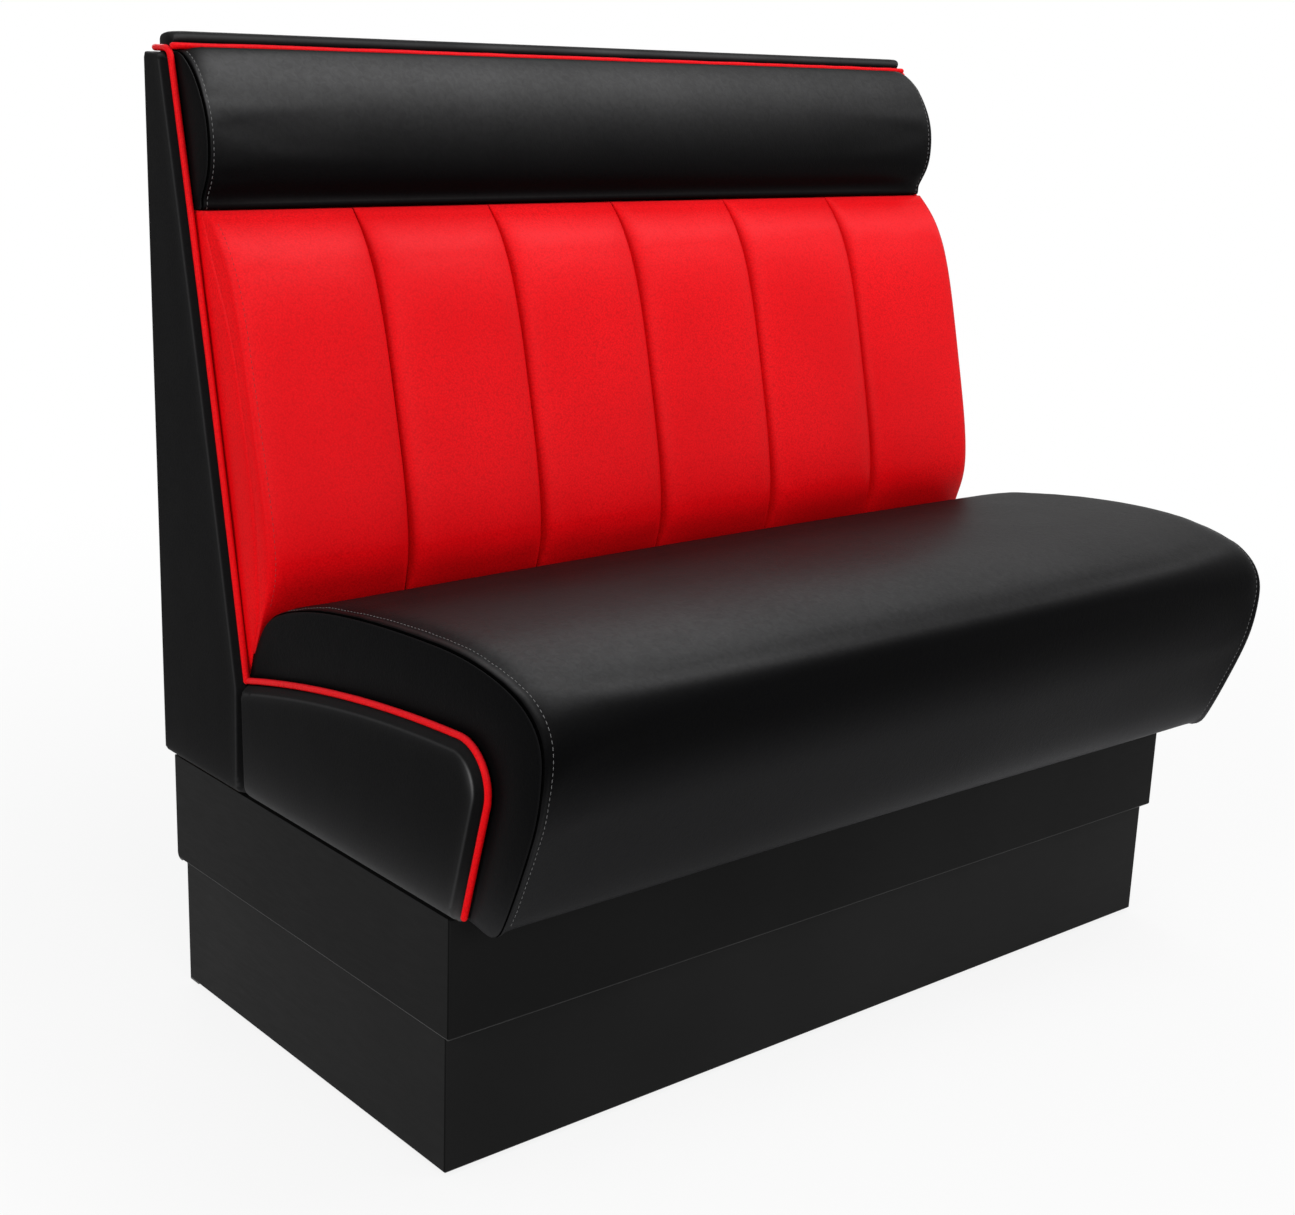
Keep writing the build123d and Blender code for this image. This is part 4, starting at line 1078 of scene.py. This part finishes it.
class BOOTH_OT_seat_cushion(Operator):
    """Build the seat cushion: blown-up cover with a rolled front, two sewn-in ends and topstitching"""

    bl_idname = "booth.seat_cushion"
    bl_label = "Seat Cushion"

    def execute(self, context):
        rows = 132
        seam, crown = through(SEAT_SEAM, rows) * MM, through(SEAT_CROWN, rows) * MM
        near = (0, 0.6, 1.3, 2.2, 3.6, 5.3, 7.0, 8.7, 10.5, 12.8, 16.0, 21.0, 28.0, 36.0, 45.0)
        xs = end_columns(near, 8.0)
        grid = blown_cover(seam, crown, xs, reach=34 * MM, power=2.9, rows=84, columns=116, kept=0.5)
        # The top also rises towards the middle of the bench
        top = smoothstep((grid[:, :, 2] - 0.36) / 0.09)
        grid[:, :, 2] += 3 * MM * top * (1 - np.clip(np.abs(xs) / 0.44, 0, 1) ** 2)
        if outward(grid[30:60, 10:-10], (0.0, 0.0, 1.0)) < 0:
            raise RuntimeError("the seat cover's rows run the wrong way")
        grid = sewn_edge(grid, stitched=7 * MM, ridge=0.5 * MM)
        columns = len(xs)
        behind = np.array([(SEAT_RAIL_FRONT, SEAT_SEAM[-1][1]), (SEAT_RAIL_FRONT, FOAM_BOTTOM),
                           (SEAT_SEAM[0][0], FOAM_BOTTOM)]) * MM
        welt = evenly(seat_end_line(0.0, WELT_REAR, WELT_FOOT), rows) * MM
        vertices, faces, face_materials = sewn_cover(
            grid, xs, behind, seam, welt, (0.012, 0.035, 0.075, 0.14, 0.24, 0.36, 0.5, 0.64, 0.78, 0.9, 1.0),
            rise=0.9 * MM, swell=2.4 * MM, fullest=1.15, ripple=0.2 * MM, ripple_scale=40.0, crease=2)
        pad = (rows + 1) * (columns - 1)  # the faces of the flat underside, which is a fibre pad
        face_materials[pad:pad + columns - 1] = [1] * (columns - 1)
        finishes = [black_vinyl(), felt("fibre pad"), black_seam_shade()]
        cushion = add_piece("seat_cushion", vertices, faces, finishes, "seat_unit",
                            face_materials, self.highlight_share(np.array(vertices)))
        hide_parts("seat_cover", "seat_foam", "seat_left_boxing", "seat_right_boxing")
        normals = grid_normals(grid)
        for name, column in (("left", 7), ("right", columns - 8)):
            sew("seat_stitches_" + name, grid[8:124, column], normals[8:124, column],
                "seat_unit", thread("light_thread", colour("thread")))
        return {"FINISHED"}

    def highlight_share(self, vertices):
        """Wear of the front, strongest along its foot and to the right, and of the feet of the ends."""
        x, y, z = vertices.T
        front_foot, end_foot, sheen_top, front_y = 0.244, 0.242, 0.4, -0.19
        band = fading(np.maximum(z - front_foot, 0.0), 0.018) * (0.2 + 1.2 * smoothstep((x + 0.25) / 0.5))
        sheen = 0.2 * smoothstep((sheen_top - z) / 0.07) * (1 - 0.45 * smoothstep((x - 0.1) / 0.35))
        front = np.clip(band + sheen, 0.0, 1.0) * (y < front_y)
        ends = 0.45 * fading(np.maximum(z - end_foot, 0.0), 0.03)
        return np.where(np.abs(x) > cushion_end + 0.1 * MM, ends, front)


def sew(name, line, normals, body, finish):
    """A row of topstitches as its own piece."""
    s = sizes()
    vertices, faces = stitches(line, normals, s.stitch_length, s.stitch_gap, s.thread)
    return add_piece(name, vertices, faces, [finish], body)


class BOOTH_OT_seat_ends(Operator):
    """Build the two padded end panels of the seat"""

    bl_idname = "booth.seat_ends"
    bl_label = "Seat End Panels"

    def execute(self, context):
        top = seat_end_line(piping_radius / MM + WELT_GAP, SEAT_PANEL_REAR, panel_bottom / MM)
        rear_foot = (SEAT_PANEL_FOOT, top[-1][1])
        bottom = np.linspace(top[-1], rear_foot, 60)
        rear = np.linspace(rear_foot, SEAT_PANEL_REAR, 22)
        # The bottom border takes a painted reflection of the floor, lighter towards the foot
        edges = ((top, 6.3, 3.5, False, 0.0), (bottom, 16, 3, True, 0.8), (rear, 1.5, 9.5, True, 0.0))
        for name, side in SIDES:
            vertices, faces, rubbed = padded_panel(edges, side)
            # Painted glint: the ridge's painted highlight is made much brighter round PANEL_GLEAM
            away = np.linalg.norm(vertices[:, 1:] - np.array(PANEL_GLEAM) * MM, axis=1)
            rubbed = np.clip(rubbed * (1 + 5 * bell(away, 13 * MM)), 0.0, 1.0)
            panel = add_piece("seat_end_" + name, vertices, faces, [panel_vinyl()],
                              "seat_unit", rubbed=rubbed)
            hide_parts(f"seat_{name}_panel")
        return {"FINISHED"}


class BOOTH_OT_seat_welts(Operator):
    """Build the red piping round the seat's end panels"""

    bl_idname = "booth.seat_welts"
    bl_label = "Seat Piping"

    def execute(self, context):
        line = evenly(seat_end_line(0.0, WELT_REAR, WELT_FOOT), 150) * MM
        for name, side in SIDES:
            path = [(side * piping_plane, y, z) for y, z in line]
            welt = pipe(f"seat_piping_{name}", path, "seat_unit")
            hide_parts(f"seat_{name}_welt")
        return {"FINISHED"}


def pipe(name, path, body):
    """A red piping cord along a path."""
    vertices, faces = tube(path, sizes().piping / 2, PIPING_SIDES, PIPING_WOBBLE)
    return add_piece(name, vertices, faces, [red_welt()], body)


def channel_lines(z):
    """Crest and seam of a channel at heights z, in metres."""
    run = np.array(CHANNEL_RUN) * MM
    both = cubic(run[:, 0], run[:, 1:], np.asarray(z))
    return both[:, 0], both[:, 1]


class BOOTH_OT_channels(Operator):
    """Build the six red channels of the back, each a pillow sewn in at its sides and hems"""

    bl_idname = "booth.channels"
    bl_label = "Back Channels"

    def execute(self, context):
        rows = 100
        z = np.linspace(CHANNEL_RUN[0][0], CHANNEL_RUN[-1][0], rows) * MM
        crest, seam = channel_lines(z)
        half = channel_width / 2
        near = np.array((0, 0.4, 0.9, 1.6, 2.6, 4.0, 5.6, 7.5, 10, 13.5, 18, 24, 31, 39, 48, 58, 68)) * MM
        inward = np.concatenate([near, [half], near[::-1]])
        place = np.concatenate([near - half, [0.0], (half - near)[::-1]])
        columns = len(place)
        # The two outer channels each have a free side, which is squarer and whose seam isn't sunk
        free_sides = {0: slice(None, columns // 2), channel_count - 1: slice(columns // 2, None)}
        squarer, sinking = 3, 4.0 * MM
        for index in range(channel_count):
            powers, sunk = np.full(columns, sizes().channel_squareness), np.full(columns, sinking)
            if index in free_sides:
                powers[free_sides[index]] += squarer
                sunk[free_sides[index]] = 0.0
            shape = (1 - (1 - inward / half) ** powers) ** (1 / powers)
            deep = seam[:, None] + sunk[None, :]
            grid = np.zeros((rows, columns, 3))
            grid[:, :, 0] = -cushion_end + (index + 0.5) * channel_width + place
            grid[:, :, 1] = deep - (deep - crest[:, None]) * shape[None, :]
            grid[:, :, 2] = z[:, None]
            grid = self.blown(grid)
            behind = grid[:, [-1, 0]]
            behind[:, :, 1] = board_y(z / MM)[:, None] * MM
            vertices = np.concatenate([grid, behind], axis=1).reshape(-1, 3)
            # The faces at the seams between channels take the painted seam shade
            creases = [0] * (index > 0) + [columns - 2] * (index < channel_count - 1)
            face_materials = [int(j in creases) for j in range(columns + 2)] * (rows - 1) + [0, 0]
            channel = add_piece(f"channel_{index + 1}", vertices, tube_faces(rows, columns + 2),
                                [red_vinyl(), red_seam_shade()], "booth_frame", face_materials)
            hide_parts(f"back_channel_{index + 1}")
            if index in free_sides:
                column = 6 if index == 0 else columns - 7
                normals = grid_normals(grid) * outward(grid[:, 8:-8], (0.0, -1.0, 0.0))
                sew(f"back_stitches_{'left' if index == 0 else 'right'}", grid[12:98, column],
                    normals[12:98, column], "booth_frame",
                    thread("red_thread", colour("red_thread")))
        return {"FINISHED"}

    def blown(self, grid):
        """One channel with the kept share of what the cloth simulation adds, its seams and hems held."""
        rows, columns = grid.shape[:2]
        rough_rows, rough_columns, kept = 56, 25, 0.35
        across = grid[0, :, 0]
        columns_at = np.interp(np.linspace(across[0], across[-1], rough_columns), across, np.arange(columns))
        picked = grid[np.round(np.linspace(0, rows - 1, rough_rows)).astype(int)]
        rough = np.stack([[np.interp(columns_at, np.arange(columns), row[:, k]) for row in picked]
                          for k in range(3)], axis=2)
        blown = blown_up(rough[:, ::-1], shrink=-0.001, stiffness=30.0, swell=sizes().swell * 0.5)[:, ::-1]
        rows_at = np.linspace(0, rough_rows - 1, rows)
        columns_at = (across - across[0]) / (across[-1] - across[0]) * (rough_columns - 1)
        return grid + kept * resampled(blown - rough, rows_at, columns_at)


class BOOTH_OT_back_boxings(Operator):
    """Build the red boxings that close the ends of the channelled back"""

    bl_idname = "booth.back_boxings"
    bl_label = "Back Boxings"

    def execute(self, context):
        rows = 108
        z = np.linspace(BOXING_FOOT, CHANNEL_RUN[-1][0], rows) * MM
        channel_foot, foot_rake = CHANNEL_RUN[0][0] * MM, 0.31
        _, seam = channel_lines(np.maximum(z, channel_foot))
        seam += np.maximum(channel_foot - z, 0.0) * foot_rake
        width = slope_y(z / MM) * MM - seam
        shares = (0.0, 0.01, 0.03, 0.06, 0.1, 0.16, 0.25, 0.37, 0.5, 0.62, 0.72, 0.8, 0.86, 0.92, 1.0)
        columns = len(shares)
        rise, inside = 1.3 * MM, 0.1 * MM
        for name, side in SIDES:
            grid = np.zeros((rows, columns + 1, 3))
            for j, share in enumerate(shares):
                grid[:, j, 1] = seam + width * share
                swell = 1.6 * MM * sin(pi * share) * smoothstep(width / (40 * MM))
                fold = 0.9 * MM * bell((1 - share) * width - 5.5 * MM, 1.2 * MM)
                fold *= smoothstep((z - 0.44) / 0.06)
                raised = rise * (1 - fading(share * width, 1.0 * MM))
                grid[:, j, 0] = side * (cushion_end + raised + swell - fold)
            grid[:, columns, 1] = board_y(z / MM) * MM
            grid[:, columns, 0] = side * (cushion_end + rise)
            grid[:, :, 2] = z[:, None]
            inner = grid.copy()
            inner[:, :, 0] = side * (cushion_end + inside)
            vertices = np.concatenate([grid.reshape(-1, 3), inner.reshape(-1, 3)])
            n = rows * (columns + 1)
            faces = grid_faces(rows, columns + 1, flip=side > 0)
            faces += grid_faces(rows, columns + 1, n, flip=side < 0)
            faces += rim_faces(rows, columns + 1, n, side > 0)
            # The column at the seam takes the painted seam shade
            face_materials = ([0] * (columns - 1) + [1]) * (rows - 1)
            face_materials += [0] * (len(faces) - len(face_materials))
            boxing = add_piece(f"back_boxing_{name}", vertices, faces, [red_vinyl(), red_seam_shade()],
                               "booth_frame", face_materials)
            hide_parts(f"back_{name}_boxing")
        return {"FINISHED"}


def rim_faces(rows, columns, n, flip):
    """Quads that join the rims of two equal grids, the second starting at vertex n."""
    rim = list(range(columns)) + [i * columns + columns - 1 for i in range(1, rows)]
    rim += [(rows - 1) * columns + j for j in range(columns - 2, -1, -1)]
    rim += [i * columns for i in range(rows - 2, 0, -1)]
    faces = []
    for a, b in zip(rim, rim[1:] + rim[:1]):
        quad = (a, b, b + n, a + n)
        faces.append(quad if flip else quad[::-1])
    return faces


class BOOTH_OT_head_roll(Operator):
    """Build the head roll: blown-up cover, sewn-in ends and topstitching"""

    bl_idname = "booth.head_roll"
    bl_label = "Head Roll"

    def execute(self, context):
        rows = 64
        seam, crown = through(ROLL_SEAM, rows) * MM, through(ROLL_CROWN, rows) * MM
        xs = end_columns((0, 0.6, 1.3, 2.2, 3.4, 4.6, 6.0, 8.0, 11.0, 15.0, 20.0, 27.0, 35.0, 44.0), 8.0)
        grid = blown_cover(seam, crown, xs, reach=26 * MM, power=2.8, rows=34, columns=130, kept=0.3)
        grid = sewn_edge(grid, stitched=4.6 * MM, ridge=0.35 * MM)
        foot_z, top_z = 0.766, 0.896
        behind = [(board_y(z / MM) * MM, z) for z in (foot_z, top_z)]
        heights = seam[:, 1]
        inner_y = np.minimum(slope_y(heights / MM), SLOPE_HIGH[0] - 1) * MM + 2 * MM
        vertices, faces, face_materials = sewn_cover(
            grid, xs, behind, seam, np.stack([inner_y, heights], axis=1),
            (0.02, 0.06, 0.13, 0.24, 0.38, 0.54, 0.7, 0.85, 1.0),
            rise=1.0 * MM, swell=1.8 * MM, fullest=1.0, ripple=0.3 * MM, ripple_scale=60.0, crease=1)
        roll = add_piece("head_roll", vertices, faces, [roll_vinyl(), black_seam_shade()], "booth_frame",
                         face_materials)
        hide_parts("headroll_cover", "headroll_foam", "headroll_ends")
        normals = grid_normals(grid)
        for name, column in (("left", 5), ("right", len(xs) - 6)):
            sew("roll_stitches_" + name, grid[4:60, column], normals[4:60, column],
                "booth_frame", thread("light_thread", colour("thread")))
        return {"FINISHED"}


class BOOTH_OT_wings(Operator):
    """Build the two padded end panels of the back"""

    bl_idname = "booth.wings"
    bl_label = "Back End Panels"

    def execute(self, context):
        cut = 6.0
        top_z, foot_z, rear = wing_top / MM, panel_bottom / MM, rear_plane / MM
        slope = [(slope_y(z), z) for z in np.linspace(SLOPE_LOW[1], top_z - cut, 110)]
        low = np.linspace((WING_FOOT, foot_z), SLOPE_LOW, 20)[:-1]
        front = np.concatenate([low, slope])
        cut_line = np.linspace(front[-1], (front[-1][0] + cut, top_z), 4)
        top = np.linspace(cut_line[-1], (rear, top_z), 8)
        back = np.linspace(top[-1], (rear, foot_z), 130)
        bottom = np.linspace(back[-1], front[0], 30)
        # The bottom border takes a faint painted reflection of the floor
        edges = ((front, 5.1, 4, False, 0.0), (cut_line, 1.8, 9.5, True, 0.0), (top, 3.5, 8, True, 0.0),
                 (back, 1.3, 10, True, 0.0), (bottom, 8, 6, True, 0.16))
        for name, side in SIDES:
            vertices, faces, rubbed = padded_panel(edges, side)
            wing = add_piece("back_end_" + name, vertices, faces, [panel_vinyl()],
                             "booth_frame", rubbed=rubbed)
            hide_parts(f"back_{name}_wing")
        return {"FINISHED"}


class BOOTH_OT_back_welts(Operator):
    """Build the red piping up the front edges of the back's ends and over their tops"""

    bl_idname = "booth.back_welts"
    bl_label = "Back Piping"

    def execute(self, context):
        gap = piping_radius / MM + WELT_GAP
        setback = gap * 1.15
        low_start, rear_short = 8, 7
        run = (SLOPE_HIGH[0] - SLOPE_LOW[0]) / (SLOPE_HIGH[1] - SLOPE_LOW[1])
        lean = (run / hypot(run, 1), 1 / hypot(run, 1))
        turn = acos(lean[0])
        bend = 11.0
        corner_z = wing_top / MM + gap - bend * (sin(turn) * lean[1] - (1 - cos(turn)) * lean[0])
        low = [(slope_y(z) - setback, z) for z in np.linspace(SLOPE_LOW[1] + low_start, corner_z, 130)]
        corner = []
        for a in np.linspace(0.0, turn, 14)[1:]:
            along, over = bend * sin(a), bend * (1 - cos(a))
            corner.append((low[-1][0] + along * lean[0] + over * lean[1],
                           low[-1][1] + along * lean[1] - over * lean[0]))
        back = np.linspace(corner[-1], (rear_plane / MM - rear_short, corner[-1][1]), 10)[1:]
        line = evenly(np.concatenate([low, corner, back]), 170) * MM
        for name, side in SIDES:
            path = [(side * piping_plane, y, z) for y, z in line]
            welt = pipe(f"back_piping_{name}", path, "booth_frame")
            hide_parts(f"back_{name}_welt")
        return {"FINISHED"}


class BOOTH_OT_top(Operator):
    """Build the padded cap and the piping along the top edge"""

    bl_idname = "booth.top"
    bl_label = "Cap and Top Piping"

    def execute(self, context):
        path, waviness = [], 0.5 * MM
        for x in np.linspace(-panel_inner, panel_inner, 150):
            wave = noise.noise(Vector((x * 26.0, 3.7, 0.0))) - fading(panel_inner - abs(x), 0.05)
            path.append((x, TOP_WELT[0] * MM, TOP_WELT[1] * MM + waviness * wave))
        welt = pipe("top_piping", path, "booth_frame")
        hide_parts("top_welt")

        # The cap's side view, each point with its share of painted highlight
        back = rear_plane / MM
        section = (
            (back - 0.5, 898.4, 0), (272, 898.4, 0), (266.5, 899.8, 0), (264.7, 902.5, 0), (263.6, 906.0, 0),
            (262.1, 908.6, 0), (261.2, 910.6, 0.12), (261.0, 912.2, 0.34), (261.4, 913.8, 0.42),
            (262.6, 915.3, 0.16), (264.6, 916.4, 0.08), (267.5, 917.0, 0.04), (272.0, 917.2, 0),
            (279.0, 916.9, 0), (286.0, 915.9, 0), (291.0, 914.5, 0), (294.0, 912.3, 0), (back, 909.8, 0),
            (back, 904.0, 0))
        middle = np.mean(section, axis=0)
        fixed_below, puckered_above = 903, 909
        ends = np.array((0, 0.5, 1.4, 2.8, 5, 9, 15, 24)) * MM
        xs = np.concatenate([-cap_end + ends, np.linspace(-0.42, 0.42, 84), (cap_end - ends)[::-1]])
        vertices, rubbed = [], []
        for x in xs:
            inward = (cap_end - abs(x)) / MM
            tight = 1 - 0.16 * fading(inward, 1.2) - 0.03 * fading(inward, 8.0)
            highlight_share = 0.8 + 0.5 * noise.noise(Vector((x * 14.0, 5.3, 0.0)))
            pucker = 0.35 * noise.noise(Vector((x * 60.0, 9.1, 0.0))) * fading(inward, 30.0)
            for y, z, sheen in section:
                shape_y = middle[0] + (y - middle[0]) * tight
                shape_z = middle[1] + (z - middle[1]) * tight if z > fixed_below else z
                shape_z += pucker if z > puckered_above else 0.0
                vertices.append((x, shape_y * MM, shape_z * MM))
                rubbed.append(sheen * highlight_share)
        cap = add_piece("padded_cap", vertices, tube_faces(len(xs), len(section), flip=True), [panel_vinyl()],
                        "booth_frame", rubbed=rubbed)
        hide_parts("top_cap")
        return {"FINISHED"}


STEPS = (
    BOOTH_OT_stage, BOOTH_OT_base, BOOTH_OT_frame, BOOTH_OT_seat_cushion, BOOTH_OT_seat_ends,
    BOOTH_OT_seat_welts, BOOTH_OT_channels, BOOTH_OT_back_boxings, BOOTH_OT_head_roll, BOOTH_OT_wings,
    BOOTH_OT_back_welts, BOOTH_OT_top,
)


class BOOTH_PT_panel(Panel):
    """Sizes, colours and building steps of the booth bench"""

    bl_idname = "BOOTH_PT_panel"
    bl_label = "Booth Bench"
    bl_space_type = "VIEW_3D"
    bl_region_type = "UI"
    bl_category = "Booth"

    def draw(self, context):
        layout = self.layout
        for group in (context.scene.booth_sizes, context.scene.booth_colours):
            box = layout.box()
            for name in group.__annotations__:
                box.prop(group, name)
        for step in STEPS:
            layout.operator(step.bl_idname)


CLASSES = (BoothSizes, BoothColours, *STEPS, BOOTH_PT_panel)


def register():
    for cls in CLASSES:
        bpy.utils.register_class(cls)
    bpy.types.Scene.booth_sizes = PointerProperty(type=BoothSizes)
    bpy.types.Scene.booth_colours = PointerProperty(type=BoothColours)


def unregister():
    del bpy.types.Scene.booth_colours
    del bpy.types.Scene.booth_sizes
    for cls in reversed(CLASSES):
        bpy.utils.unregister_class(cls)


def main():
    register()
    for step in STEPS:
        group, name = step.bl_idname.split(".")
        getattr(getattr(bpy.ops, group), name)()


if __name__ == "__main__":
    main()
